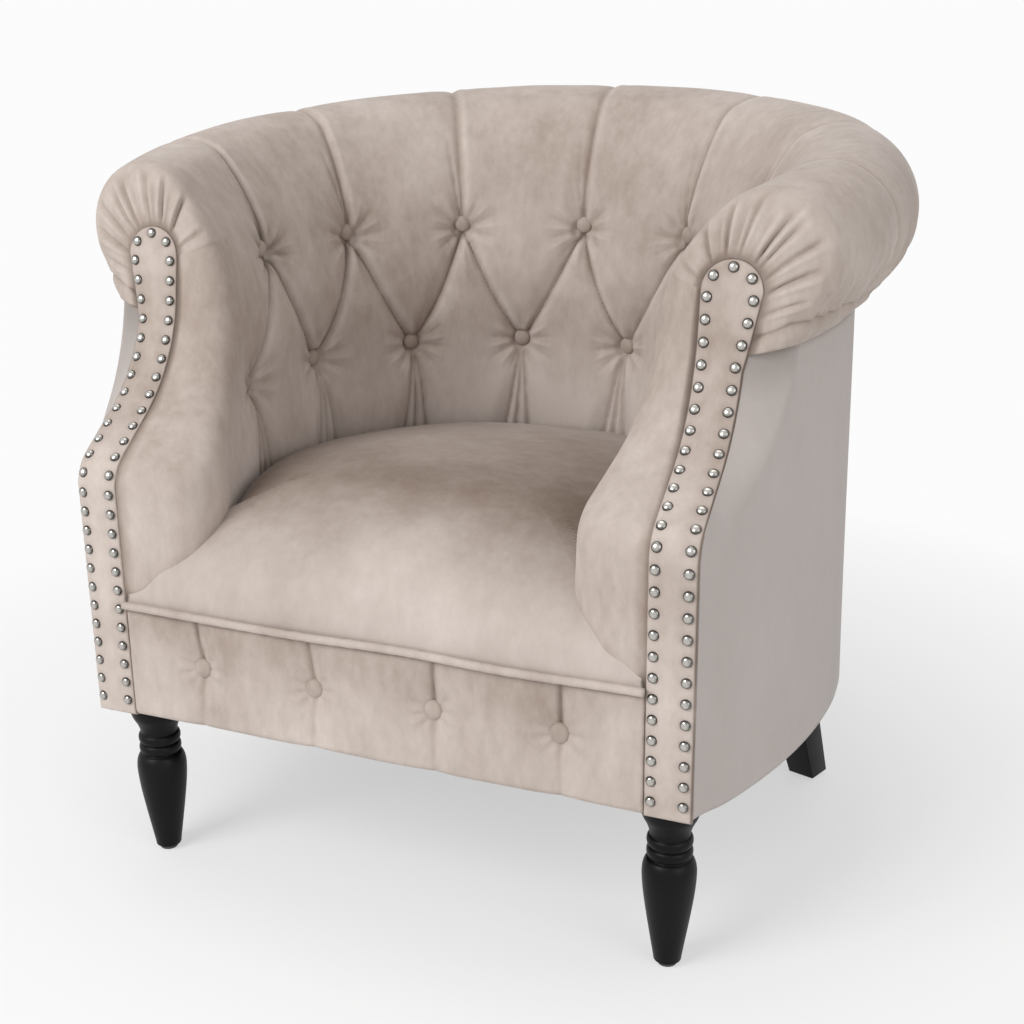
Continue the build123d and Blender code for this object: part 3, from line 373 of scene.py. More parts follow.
def facing_setback(z):
    """How far the facing's S curve has swept back at a height."""
    knee_end = KNEE_Z + KNEE_RADIUS * np.cos(SLOPE)
    knee_back = KNEE_RADIUS * (1 - np.sin(SLOPE))
    slope_end = knee_end + SLOPE_LENGTH * np.sin(SLOPE)
    slope_back = knee_back + SLOPE_LENGTH * np.cos(SLOPE)
    neck_centre_z = slope_end + NECK_RADIUS * np.cos(SLOPE)
    neck_centre = slope_back - NECK_RADIUS * np.sin(SLOPE)
    neck_end = neck_centre_z - NECK_RADIUS * np.cos(NECK_SLOPE)
    neck_back = neck_centre + NECK_RADIUS * np.sin(NECK_SLOPE)
    knee = KNEE_RADIUS - np.sqrt(np.maximum(KNEE_RADIUS**2 - np.maximum(z - KNEE_Z, 0) ** 2, 0))
    slope = knee_back + (z - knee_end) / np.tan(SLOPE)
    neck = neck_centre + np.sqrt(np.maximum(NECK_RADIUS**2 - (z - neck_centre_z) ** 2, 0))
    top = neck_back + (z - neck_end) / np.tan(NECK_SLOPE)
    upper = np.where(z < neck_end, neck, top)
    return np.where(z < knee_end, knee, np.where(z < slope_end, slope, upper))


def facing_half(z):
    """Outer edge of the facing at a height below its cap."""
    return INNER_X + FACING_WIDTH + FACING_FLARE * np.clip((z - FLARE_Z) / (CAP_Z - FLARE_Z), 0, 1)


def arm_y(setback, ahead):
    """Depth of a point a distance ahead of the facing's setback, run out to nothing at the barrel."""
    return FRONT_Y + setback + ahead * (ARM_RUN - setback) / ARM_RUN


def smooth_noise(points, wave, seed):
    """A soft wandering value from -1 to 1 at points, with features about one wave long."""
    random = np.random.default_rng(seed)
    total = np.zeros(len(points))
    for _ in range(6):
        direction = random.normal(size=3)
        direction /= np.linalg.norm(direction)
        pitch = wave * random.uniform(0.7, 1.6)
        total += np.sin(points @ direction * 2 * np.pi / pitch + random.uniform(0, 2 * np.pi))
    return total / 6


def spline(knots, count):
    """Points along a smooth curve through knots, an array of rows of coordinates."""
    padded = np.vstack([2 * knots[0] - knots[1], knots, 2 * knots[-1] - knots[-2]])
    share = np.linspace(0, 1, count, endpoint=False)[:, None]
    pieces = []
    for before, start, end, after in zip(padded, padded[1:], padded[2:], padded[3:]):
        bend = 2 * before - 5 * start + 4 * end - after
        twist = 3 * start - before - 3 * end + after
        pieces.append(0.5 * (2 * start + (end - before) * share + bend * share**2 + twist * share**3))
    return np.vstack([*pieces, knots[-1:]])


def lengths_along(points):
    """Distance along a run of points to each of them."""
    return np.concatenate([[0], np.cumsum(np.linalg.norm(np.diff(points, axis=0), axis=1))])


def resample(points, count):
    """Points spaced evenly along a run of points."""
    run = lengths_along(points)
    at = np.linspace(0, run[-1], count)
    return np.column_stack([np.interp(at, run, column) for column in points.T])


def grid_faces(rows, columns, close_rows=False):
    """Four-sided faces between neighbours in a grid of points stored row by row."""
    faces = []
    for row in range(rows if close_rows else rows - 1):
        here = row * columns
        there = (row + 1) % rows * columns
        for column in range(columns - 1):
            faces.append((here + column, here + column + 1, there + column + 1, there + column))
    return faces


def ring_faces(count, rings, start=0):
    """Four-sided faces between closed rings of points stored one after another."""
    faces = []
    for low in range(start, start + (rings - 1) * count, count):
        for index in range(count):
            after = (index + 1) % count
            faces.append((low + index, low + after, low + count + after, low + count + index))
    return faces


def tube_faces(count, rings):
    """Faces of a tube of closed rings with flat ends."""
    last = (rings - 1) * count
    ends = [tuple(range(count))[::-1], tuple(range(last, last + count))]
    return ring_faces(count, rings) + ends


def two_skin_faces(rows, columns):
    """Faces of two grids of points, one behind the other, closed round their rim."""
    shift = rows * columns
    skin = grid_faces(rows, columns)
    faces = skin + [tuple(index + shift for index in reversed(face)) for face in skin]
    rim = list(range(columns))
    rim += [row * columns + columns - 1 for row in range(1, rows)]
    rim += [(rows - 1) * columns + column for column in range(columns - 2, -1, -1)]
    rim += [row * columns for row in range(rows - 2, 0, -1)]
    for here, there in zip(rim, rim[1:] + rim[:1]):
        faces.append((there, here, here + shift, there + shift))
    return faces


def both_sides(half):
    """A closed outline from its right half, which starts and ends on the middle line."""
    return np.vstack([half, (half * (-1, 1))[-2:0:-1]])


def runs_round(tip, count):
    """Distances round the chair from one facing to the other, with a tip's spacing at both ends."""
    end = tip[-1]
    middle = np.linspace(-FULL_RUN + end, FULL_RUN - end, count)
    return np.concatenate([-FULL_RUN + tip[:-1], middle, FULL_RUN - tip[-2::-1]])


def make_piece(name, points, faces, material, nodes, painted_shading_and_tone=None):
    """A smooth mesh that rides on the chair and stands for CAD nodes.

    The painted shading, -1 in a crease to 1 in painted light, and random tone are kept on the points
    for the velvet.
    On the nailheads it is a painted dark reflection towards the rim instead, from 0 to 1.
    """
    mesh = bpy.data.meshes.new(name)
    mesh.from_pydata(np.asarray(points).tolist(), [], faces)
    mesh.validate()
    mesh.polygons.foreach_set("use_smooth", [True] * len(mesh.polygons))
    values = np.zeros(len(mesh.vertices)) if painted_shading_and_tone is None else painted_shading_and_tone
    kept = mesh.attributes.new("painted_shading_and_tone", "FLOAT", "POINT")
    kept.data.foreach_set("value", np.asarray(values, np.float32))
    mesh.materials.append(material)
    piece = bpy.data.objects.new(name, mesh)
    bpy.context.scene.collection.objects.link(piece)
    set_outward(piece)
    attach(piece, "root")
    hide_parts(*nodes)
    return piece


def set_outward(piece):
    """Turn the faces of a closed mesh outward."""
    bpy.context.view_layer.objects.active = piece
    piece.select_set(True)
    bpy.ops.object.mode_set(mode="EDIT")
    bpy.ops.mesh.select_all(action="SELECT")
    bpy.ops.mesh.normals_make_consistent(inside=False)
    bpy.ops.object.mode_set(mode="OBJECT")
    piece.select_set(False)


class Value:
    """One output of a shader node; arithmetic on it adds Math nodes to its material."""

    def __init__(self, tree, socket):
        self.tree = tree
        self.socket = socket

    def math(self, operation, first, second):
        """The result of a Math node on two values or numbers."""
        return add_node(self.tree, "ShaderNodeMath", {"operation": operation}, {0: first, 1: second})

    def __add__(self, other):
        return self.math("ADD", self, other)

    def __radd__(self, other):
        return self.math("ADD", other, self)

    def __sub__(self, other):
        return self.math("SUBTRACT", self, other)

    def __rsub__(self, other):
        return self.math("SUBTRACT", other, self)

    def __mul__(self, other):
        return self.math("MULTIPLY", self, other)

    def __rmul__(self, other):
        return self.math("MULTIPLY", other, self)

    def between(self, low, high):
        """The value held between two limits."""
        return self.math("MINIMUM", self.math("MAXIMUM", self, low), high)


def add_node(tree, kind, settings, inputs, output=0):
    """Add a node, set it, feed its sockets with numbers or links, and return one of its outputs."""
    node = tree.nodes.new(kind)
    for name, value in settings.items():
        setattr(node, name, value)
    for key, value in inputs.items():
        if isinstance(value, Value):
            tree.links.new(value.socket, node.inputs[key])
        else:
            node.inputs[key].default_value = value
    return Value(tree, node.outputs[output]) if len(node.outputs) else None


def blend_colours(tree, share, first, second):
    """A colour a share of the way from first to second."""
    return add_node(
        tree, "ShaderNodeMix", {"data_type": "RGBA"}, {"Factor": share, 6: first, 7: second}, output=2
    )


def opaque(colour, factor=1.0, lift=0.0):
    """A colour, made darker or paler, with a full alpha as a shader socket takes it."""
    return (*(channel * factor + lift for channel in colour), 1.0)


def new_material(name):
    """An empty material, its node tree and its place-on-the-object vector."""
    material = bpy.data.materials.new(name)
    material.use_nodes = True
    tree = material.node_tree
    tree.nodes.clear()
    place = add_node(tree, "ShaderNodeTexCoord", {}, {}, output="Object")
    return material, tree, place


def noise(tree, place, scale, detail=2.0, roughness=0.5, stretch=None):
    """Cloudy noise from 0 to 1 over the surface, drawn out along an axis where stretch says so."""
    vector = place
    if stretch:
        product = {"operation": "MULTIPLY"}
        vector = add_node(tree, "ShaderNodeVectorMath", product, {0: place, 1: stretch})
    settings = {"Vector": vector, "Scale": scale, "Detail": detail, "Roughness": roughness}
    return add_node(tree, "ShaderNodeTexNoise", {}, settings)


def kept_painted_shading_and_tone(tree):
    """The painted shading and tone that are kept on a piece's points."""
    return add_node(tree, "ShaderNodeAttribute", {"attribute_name": "painted_shading_and_tone"}, {}, output="Fac")


def bumped(tree, strength, distance, height):
    """A normal that is roughened by a height."""
    settings = {"Strength": strength, "Distance": distance, "Height": height}
    return add_node(tree, "ShaderNodeBump", {}, settings)


def end_material(tree, settings):
    """Give a material its surface: a principled shader with these sockets set or fed."""
    shader = add_node(tree, "ShaderNodeBsdfPrincipled", {}, settings)
    add_node(tree, "ShaderNodeOutputMaterial", {}, {"Surface": shader})


def velvet(name, light, shade, tint, brushed=1.0):
    """Short-pile velvet: a mottled nap, painted light and painted shade from its points, deepest
    painted shade in creases, and a pale sheen at grazing angles.
    """
    material, tree, place = new_material(name)
    painted_shading_and_tone = kept_painted_shading_and_tone(tree)
    clouds = noise(tree, place, 8.5, 2.0, 0.5)
    strokes = noise(tree, place, 22.0, 5.0, 0.62, stretch=(1.0, 1.0, 0.38))
    specks = noise(tree, place, 85.0, 4.0, 0.65, stretch=(1.0, 1.0, 0.55))
    mottle = (clouds - 0.5) * (0.6 * brushed) + (strokes - 0.5) * (0.8 * brushed)
    brushing = mottle + (specks - 0.5) * (0.6 * brushed)
    # The colour moves between the shade and light colours with the random mottling and the points'
    # painted shading.
    lift = (0.52 + brushing + painted_shading_and_tone * 0.45).between(0.0, 1.0)
    colour = blend_colours(tree, lift, opaque(shade), opaque(light))
    # Painted shade: where the points' painted shade is deep, as in creases, the colour goes on
    # towards a much darker copy of the shade colour.
    hollow = (-0.55 - painted_shading_and_tone * 0.95).between(0.0, 0.85)
    colour = blend_colours(tree, hollow, colour, opaque(shade, 0.38))
    pile = noise(tree, place, 1500.0, 2.0, 0.7)
    crush = noise(tree, place, 70.0, 3.0, 0.6)
    end_material(
        tree,
        {
            "Base Color": colour,
            "Roughness": 0.92 - lift * 0.14,
            "Normal": bumped(tree, 0.20, 0.0012, pile * 0.35 + crush * 0.65),
            "Specular IOR Level": 0.18,
            "Sheen Weight": 0.30,
            "Sheen Roughness": 0.36,
            "Sheen Tint": opaque(tint),
        },
    )
    return material


def lacquer(name, colour):
    """Satin black lacquer over turned or planed wood, with faint grain and softly worn gloss."""
    material, tree, place = new_material(name)
    grain = noise(tree, place, 60.0, 4.0, 0.6, stretch=(4.0, 4.0, 0.35))
    smudge = noise(tree, place, 14.0, 3.0, 0.6)
    rubbed = (smudge * 0.9 - 0.2).between(0.0, 1.0)
    base = blend_colours(tree, rubbed, opaque(colour), opaque(colour, 2.6, 0.004))
    end_material(
        tree,
        {
            "Base Color": base,
            "Roughness": 0.30 + smudge * 0.16 + grain * 0.06,
            "Normal": bumped(tree, 0.10, 0.0006, grain),
            "Specular IOR Level": 0.12,
            "Coat Weight": 0.03,
            "Coat Roughness": 0.25,
        },
    )
    return material


def metal(name, colour, rough, scratch_scale):
    """Plated metal with a slightly uneven polish, and a painted dark reflection where the piece's
    points say so.
    """
    material, tree, place = new_material(name)
    cloud = noise(tree, place, scratch_scale, 4.0, 0.65)
    base = blend_colours(tree, cloud, opaque(colour), opaque(colour, 0.72))
    painted_dark_rim = kept_painted_shading_and_tone(tree).between(0.0, 1.0)
    # Painted dark reflection on the nailheads' rims, from their points
    base = blend_colours(tree, painted_dark_rim, base, opaque(colour, 0.10))
    polish = rough * 0.6 + cloud * (rough * 0.8)
    end_material(tree, {"Base Color": base, "Metallic": 1.0, "Roughness": polish})
    return material


def timber(name, colour, grain_scale):
    """Bare sawn wood or board: long grain streaks and a dry surface."""
    material, tree, place = new_material(name)
    grain = noise(tree, place, grain_scale, 6.0, 0.65, stretch=(1.0, 1.0, 0.12))
    streaks = (grain * 1.6 - 0.3).between(0.0, 1.0)
    base = blend_colours(tree, streaks, opaque(colour, 0.62), opaque(colour))
    bump = bumped(tree, 0.2, 0.001, grain)
    end_material(tree, {"Base Color": base, "Roughness": 0.72 + grain * 0.15, "Normal": bump})
    return material


def plain_cloth(name, colour):
    """Thin non-woven cloth with a fibrous speckle."""
    material, tree, place = new_material(name)
    fibre = noise(tree, place, 420.0, 4.0, 0.7)
    patch = noise(tree, place, 12.0, 3.0, 0.6)
    speckle = fibre * 0.7 + patch * 0.3
    base = blend_colours(tree, speckle, opaque(colour), opaque(colour, 1.9, 0.004))
    bump = bumped(tree, 0.25, 0.0008, fibre)
    end_material(tree, {"Base Color": base, "Roughness": 0.9 + patch * 0.05, "Normal": bump})
    return material


def moulded(name, colour):
    """Moulded plastic with a fine spark-eroded texture."""
    material, tree, place = new_material(name)
    fine = noise(tree, place, 900.0, 3.0, 0.6)
    scuff = noise(tree, place, 40.0, 3.0, 0.6)
    base = blend_colours(tree, scuff, opaque(colour), opaque(colour, 1.5))
    bump = bumped(tree, 0.15, 0.0003, fine)
    end_material(tree, {"Base Color": base, "Roughness": 0.45 + scuff * 0.2, "Normal": bump})
    return material


def button_place(step, row):
    """Where a back button is seated: its point on the barrel, the outward direction and the inset."""
    run = abs(step) * HALF_SPACING
    side = 1 if step > 0 else -1
    if run < QUARTER_RUN:
        turn = run / RING_RADIUS
        out = np.array([side * np.sin(turn), np.cos(turn), 0.0])
        wrap = np.cos(turn)
        foot = np.array([0.0, BARREL_Y, 0.0]) + out * BARREL_RADIUS
    else:
        y = BARREL_Y - (run - QUARTER_RUN)
        out = np.array([side, 0.0, 0.0])
        wrap = 0.0
        foot = np.array([side * barrel_half(y), y, 0.0])
    return foot, out, mix(ARM_INSETS[row], BACK_INSETS[row], wrap)


def crease_distance(across, up, start, end, bow):
    """Signed distance to a bowed crease from start to end, and the share of the way along it."""
    along = np.array(end) - np.array(start)
    length = np.hypot(*along)
    unit = along / length
    share = ((across - start[0]) * unit[0] + (up - start[1]) * unit[1]) / length
    aside = (across - start[0]) * unit[1] - (up - start[1]) * unit[0]
    aside = aside - bow * np.sin(np.pi * np.clip(share, 0, 1))
    beyond = np.maximum(np.maximum(-share, share - 1), 0) * length
    return np.where(aside < 0, -1, 1) * np.hypot(aside, beyond), share


def tufting(across, up, over, sizes):
    """How deep the tufted face is drawn in, and the shading painted on it.

    Across is the run round the chair, up the height on the face, and over the share of the way
    across the roll, 0 on the face below it.
    """
    broad = np.zeros_like(across)
    sharp = np.zeros_like(across)
    lip = np.zeros_like(across)
    dimple = np.zeros_like(across)
    pucker = np.zeros_like(across)
    seat = np.zeros_like(across)
    rows = [(step, LOWER_Z) for step in LOWER_STEPS] + [(step, UPPER_Z) for step in UPPER_STEPS]
    for step, button_z in rows:
        aside = (across - step * HALF_SPACING) * DIMPLE_SQUEEZE
        rise = up - button_z
        reach = np.hypot(aside, rise)
        angle = np.arctan2(rise, aside)
        dimple = np.maximum(dimple, fold(reach, sizes.dimple_reach))
        rays = np.cos(PUCKER_COUNT * angle + PUCKER_TURN * step) ** 3
        pucker = pucker + rays * bell(reach - PUCKER_RADIUS, PUCKER_WIDTH)
        seat = np.maximum(seat, 1 - ramp(*BUTTON_FLAT, reach))
    for step in LOWER_STEPS:
        for neighbour in (step - 1, step + 1):
            if neighbour not in UPPER_STEPS:
                continue
            low = (step * HALF_SPACING, LOWER_Z)
            high = (neighbour * HALF_SPACING, UPPER_Z)
            bow = DIAMOND_BOW * (1 if neighbour > step else -1)
            distance, share = crease_distance(across, up, low, high, bow)
            strength = mix(DIAMOND_MIDDLE, 1, np.abs(2 * np.clip(share, 0, 1) - 1))
            broad = np.maximum(broad, strength * bell(distance, DIAMOND_VALLEY))
            sharp = np.maximum(sharp, strength * fold(distance, DIAMOND_FOLD))
            lip = np.maximum(lip, strength * bell(distance - LIP_AWAY, LIP_WIDTH))
            beside, share = crease_distance(across, up, low, high, bow * TWIN_BOW)
            ends = np.abs(2 * np.clip(share, 0, 1) - 1) ** 2
            sharp = np.maximum(sharp, TWIN_DEPTH * ends * fold(beside, TWIN_FOLD))
        button = (step * HALF_SPACING, LOWER_Z)
        for spread in SLACK_SPREADS:
            low = (button[0] + spread, LOWER_Z - SLACK_DROP)
            distance, _ = crease_distance(across, up, low, button, SLACK_BOW)
            broad = np.maximum(broad, SLACK_VALLEY_DEPTH * bell(distance, SLACK_VALLEY))
            sharp = np.maximum(sharp, SLACK_FOLD_DEPTH * fold(distance, SLACK_FOLD))
    for step in UPPER_STEPS:
        sway = LONG_SWAY * np.sin(3.1 * step) * ramp(0.0, 0.5, over)
        aside = across - step * HALF_SPACING - sway
        above = ramp(UPPER_Z - 0.004, UPPER_Z + 0.006, up)
        fade = above * (1 - 0.62 * ramp(0.05, 0.75, over))
        valley = LONG_VALLEY_DEPTH * above * (1 - 0.82 * ramp(0.02, 0.30, over))
        broad = np.maximum(broad, valley * bell(aside, LONG_VALLEY))
        sharp = np.maximum(sharp, LONG_FOLD_DEPTH * fade * fold(aside, LONG_FOLD))
        lip = np.maximum(lip, LONG_LIP_HEIGHT * fade * bell(aside - LONG_LIP_AWAY, LONG_LIP_WIDTH))
        rise = np.maximum(up - UPPER_Z, 0)
        for slant, strength, reach in SIDE_PLEATS:
            second = strength * above * (1 - ramp(0.0, reach, over))
            sharp = np.maximum(sharp, second * fold(aside - slant * rise, SIDE_FOLD))
    soft = (dimple**3 * sizes.tuft_depth**3 + broad**3 * sizes.crease_depth**3) ** (1 / 3)
    depth = soft + sharp * sizes.pleat_depth - lip * LIP_HEIGHT + pucker * PUCKER_DEPTH
    depth = mix(depth, sizes.tuft_depth, seat)
    # Painted highlight on the lips beside the folds, painted shade in the folds and dimples, painted
    # shading on the puckers, and painted light low on the face below the buttons.
    painted_shading_and_tone = PAINTED_HIGHLIGHT_ON_LIP * lip + PAINTED_SHADE_IN_FOLD * sharp + PAINTED_SHADE_IN_DIMPLE * dimple**2
    painted_shading_and_tone = painted_shading_and_tone + PAINTED_SHADING_ON_PUCKER * pucker + PAINTED_LIGHT_BELOW_BUTTONS * (1 - ramp(0.40, 0.56, up))
    return depth, painted_shading_and_tone


def pad_section(wrap, roll):
    """The plump section of the pad: rows up the face by height, then rows over the roll by length."""
    lower = -mix(ARM_INSETS[0], BACK_INSETS[0], wrap)
    upper = -mix(ARM_INSETS[1], BACK_INSETS[1], wrap)
    inset, roll_z, radius = roll
    centre = np.array([-inset, roll_z])

    def on_roll(degrees):
        turn = np.radians(degrees)
        return centre + radius * np.array([np.cos(turn), np.sin(turn)])

    lean = RAKE_AT_SEAM * wrap**2
    shoulder = on_roll(SHOULDER_ANGLE)
    at_upper = np.array([upper - BUTTON_SWELL, UPPER_Z])
    knots = np.array(
        [
            *((lower - swell, z) for swell, z in FOOT_SWELLS),
            (lower - BUTTON_SWELL, LOWER_Z),
            ((lower + upper) / 2 - DIAMOND_SWELL, (LOWER_Z + UPPER_Z) / 2),
            at_upper,
            (at_upper + shoulder) / 2 + SHOULDER_SWELL,
            shoulder,
            *(on_roll(degrees) for degrees in ROLL_ANGLES),
            (lean - SEAM_INSET, SEAM_Z + SEAM_OVERLAP),
        ]
    )
    curve = spline(knots, 24)
    top = np.argmax(curve[:, 1] > FACE_TOP_Z)
    face_t = np.interp(FACE_HEIGHTS, curve[: top + 1, 1], curve[: top + 1, 0])
    face = np.column_stack([face_t, FACE_HEIGHTS])
    over = resample(np.vstack([face[-1:], curve[top:]]), ROLL_ROWS + 1)[1:]
    below = SEAM_Z - HIDDEN_HEIGHTS
    heel = lean * (1 - below / (SEAM_Z - PAD_FOOT_Z)) - mix(*HEEL_INSETS, ramp(0.0, HEEL_DROP, below))
    return np.vstack([face, over, np.column_stack([heel, HIDDEN_HEIGHTS])])


def pad_runs():
    """Distances round the chair of the pad's columns, closer together at the rounded front ends."""
    tip = TIP_LENGTH * (1 - np.cos(np.linspace(0, np.pi / 2, 20)))
    return runs_round(tip, round(2 * (FULL_RUN - TIP_LENGTH) / COLUMN_STEP))


def front_outline():
    """Where each row of the pad meets the facing's edge, as x and z on the right side."""
    above = np.maximum(FACE_HEIGHTS - SEAM_Z, 0)
    squeezed = FACE_HEIGHTS - above * (FACE_TOP_Z - CAP_Z) / (FACE_TOP_Z - SEAM_Z)
    face = np.column_stack([np.full(FACE_ROWS, INNER_X - CAP_GAP), squeezed])
    share = np.linspace(0, 1, ROLL_ROWS + 1)[1:]
    turn = np.pi * (1 - np.clip(share / CAP_SHARE, 0, 1))
    drop = np.clip((share - CAP_SHARE) / (1 - CAP_SHARE), 0, 1)
    radius = CAP_RADIUS + CAP_GAP
    z = CAP_Z + radius * np.sin(turn) - drop * (CAP_Z - SEAM_Z + EDGE_DROP)
    x = np.where(drop > 0, facing_half(z) + EDGE_GAP, CAP_X + radius * np.cos(turn))
    hidden = np.column_stack([facing_half(HIDDEN_HEIGHTS) - HIDDEN_EDGE_INSET, HIDDEN_HEIGHTS])
    return np.vstack([face, np.column_stack([x, z]), hidden])


# Gathers that fan out from the facing's cap: share of the way over the roll, strength and reach
GATHERS = (
    (0.060, 0.45, 0.030),
    (0.195, 0.90, 0.034),
    (0.262, 0.40, 0.018),
    (0.305, 1.00, 0.030),
    (0.362, 0.55, 0.020),
    (0.398, 0.85, 0.036),
    (0.470, 0.35, 0.016),
    (0.520, 1.00, 0.036),
    (0.566, 0.60, 0.024),
    (0.650, 0.80, 0.040),
    (0.742, 0.95, 0.032),
    (0.835, 0.50, 0.024),
)


def gathering(over, ahead):
    """How deep the gathers at a roll's front end are, at a distance behind the facing."""
    depth = np.zeros_like(over)
    for place, strength, reach in GATHERS:
        lean = place + 0.05 * (place - 0.4) * ahead / 0.05
        fade = strength * (1 - ramp(0.25 * reach, 0.9 * reach, ahead))
        depth = depth + fade * (fold(over - lean, 0.0105) - 0.45 * bell(over - lean - 0.022, 0.014))
    return depth


def seat_top(x, setback, sizes):
    """Height of the seat's crowned top at a place, before its edges are rounded off."""
    rise = np.sqrt(np.clip(1 - (1 - np.clip(setback / SEAT_NOSE, 0, 1)) ** 2, 0, 1))
    crown = mix(SEAT_LOW.z + SEAT_FRONT_RISE, SEAT_HIGH.z, rise)
    fall = SEAT_REAR_FALL * (np.clip(setback - SEAT_NOSE, 0, 1) / SEAT_REAR_RUN) ** 2
    return crown - fall - sizes.seat_arch * np.maximum(rise, 0.36) * (np.abs(x) / INNER_X) ** 2.2


def roll_seam(across, over):
    """Depth, and painted shade in the hem and under the roll, where the roll is drawn in to its seam
    with the outside cover.
    """
    pulls = np.sin(across * 190 + 26 * over + 2.0 * np.sin(across * 47)) ** 3
    pulls = pulls * ramp(0.68, 0.90, over) * (1 - ramp(0.93, 0.97, over))
    hem = fold(over - HEM_PLACE, HEM_WIDTH)
    swell = bell(over - HEM_SWELL_PLACE, HEM_SWELL_WIDTH)
    depth = PULL_DEPTH * pulls + HEM_DEPTH * hem - HEM_SWELL * swell
    return depth, PAINTED_SHADE_AT_HEM * hem + PAINTED_SHADE_UNDER_ROLL * ramp(0.80, 0.95, over)


def painted_shading_by_place(across, up, over, ahead, wrap):
    """Shading painted on the pad by place: painted light on the lower back, a painted highlight over
    the roll, painted shade at the arms' last upper buttons, and darker at the arm fronts.
    """
    last_button = UPPER_STEPS[-1] * HALF_SPACING
    from_last = np.hypot(np.abs(across) - last_button, up - UPPER_Z)
    arm_front = 1 - ramp(0.04, 0.15, ahead)
    low_back = wrap * (1 - ramp(0.40, 0.52, up))
    on_face = (DARKER_AT_ARM_FRONT * arm_front + PAINTED_LIGHT_LOW_BACK * low_back) * (over == 0)
    on_roll = PAINTED_HIGHLIGHT_OVER_ROLL * ramp(0.1, 0.4, over)
    return on_face + on_roll + PAINTED_SHADE_AT_ARM_BUTTON * bell(from_last, 0.034)


def build_back_pad(sizes, material):
    """The arms, back and roll: one run of sections round the barrel, drawn in at the buttons."""
    runs = pad_runs()
    outline = front_outline()
    rows = FACE_ROWS + ROLL_ROWS + HIDDEN_ROWS
    over = np.concatenate(
        [np.zeros(FACE_ROWS), np.linspace(0, 1, ROLL_ROWS + 1)[1:], np.ones(HIDDEN_ROWS)]
    )
    shown = np.concatenate([np.ones(FACE_ROWS + ROLL_ROWS), np.zeros(HIDDEN_ROWS)])
    nose = mix(sizes.arm_nose, sizes.roll_nose, ramp(0.56, 0.64, outline[:, 1]))
    nose[FACE_ROWS:] = sizes.roll_nose
    roundness = mix(ARM_ROUNDNESS, ROLL_ROUNDNESS, ramp(0.60, 0.66, outline[:, 1]))
    roundness[FACE_ROWS:] = ROLL_ROUNDNESS
    points = np.zeros((rows, len(runs), 3))
    painted_shadings_and_tones = np.zeros((rows, len(runs)))
    for column, run in enumerate(runs):
        side = 1 if run > 0 else -1
        ahead = FULL_RUN - abs(run)
        on_arm = ahead < ARM_RUN
        turn = abs(run) / RING_RADIUS
        if on_arm:
            wrap = 0.0
            roll = mix(ROLL_FRONT, ROLL_SIDE, ahead / ARM_RUN)
        else:
            wrap = np.cos(turn)
            roll = mix(ROLL_SIDE, ROLL_BACK, wrap)
        section = pad_section(wrap, roll)
        tangent = np.gradient(section, axis=0)
        tangent /= np.linalg.norm(tangent, axis=1)[:, None]
        inward = np.column_stack([tangent[:, 1], -tangent[:, 0]])
        heights = section[:, 1]
        if on_arm:
            y = arm_y(facing_setback(heights), ahead)
            across = np.full(rows, side * QUARTER_RUN) + side * (BARREL_Y - y)
        else:
            across = np.full(rows, run)
        up = np.where(over > 0, FACE_TOP_Z + over * 0.25, heights)
        depth, painted_shading_and_tone = tufting(across, up, over, sizes)
        if on_arm:
            share = np.clip(ahead / nose, 0, 1)
            fullness = (1 - (1 - share) ** roundness) ** (1 / roundness)
            gather = gathering(over, ahead) * np.where(over > 0, 1, 0) * ramp(0.03, 0.25, fullness)
            depth = depth + gather * sizes.gather_depth
            # Painted shade in the gathers, and a painted shadow where the pad meets the facing.
            tucked = 1 - ramp(0.0, np.where(over > 0, 0.30, 0.12), fullness)
            painted_shading_and_tone = painted_shading_and_tone + PAINTED_SHADE_IN_GATHER * gather + PAINTED_SHADOW_BY_FACING * tucked
        seam_depth, seam_painted_shade = roll_seam(across, over)
        painted_shadings_and_tones[:, column] = (painted_shading_and_tone + seam_painted_shade + painted_shading_by_place(across, up, over, ahead, wrap)) * shown
        section = section + inward * ((depth + seam_depth) * shown)[:, None]
        if on_arm:
            y = arm_y(facing_setback(section[:, 1]), ahead)
            x = mix(outline[:, 0], barrel_half(y) + section[:, 0], fullness)
            z = mix(outline[:, 1], section[:, 1], fullness)
            y = arm_y(facing_setback(z) + 0.003, ahead)
            y = y + gather * sizes.gather_depth * np.sqrt(1 - fullness**2) * shown
            points[:, column] = np.column_stack([side * x, y, z])
        else:
            out = BARREL_RADIUS + section[:, 0]
            points[:, column, 0] = side * out * np.sin(turn)
            points[:, column, 1] = BARREL_Y + out * np.cos(turn)
            points[:, column, 2] = section[:, 1]
        x, y, z = points[:, column].T
        # Painted shade where the pad meets the seat.
        meeting_seat = bell(z - seat_top(x, y - SEAT_LOW.y, sizes) + 0.006, 0.010)
        painted_shadings_and_tones[:, column] += PAINTED_SHADE_AT_SEAT * meeting_seat * (over == 0)
    flat = points.reshape(-1, 3)
    flat[:, 2] += smooth_noise(flat, 0.11, 7) * 0.0011
    columns = len(runs)
    faces = grid_faces(rows, columns, close_rows=True)
    for column in (0, columns - 1):
        loop = [row * columns + column for row in range(rows)]
        for low in range(rows // 2 - 1):
            faces.append((loop[low], loop[low + 1], loop[rows - 2 - low], loop[rows - 1 - low]))
    tone = smooth_noise(flat, 0.17, 3) * 0.25 - 0.04
    piece = make_piece(
        "back_pad", flat, faces, material, ["tufted_back_pad"], painted_shadings_and_tones.reshape(-1) + tone
    )


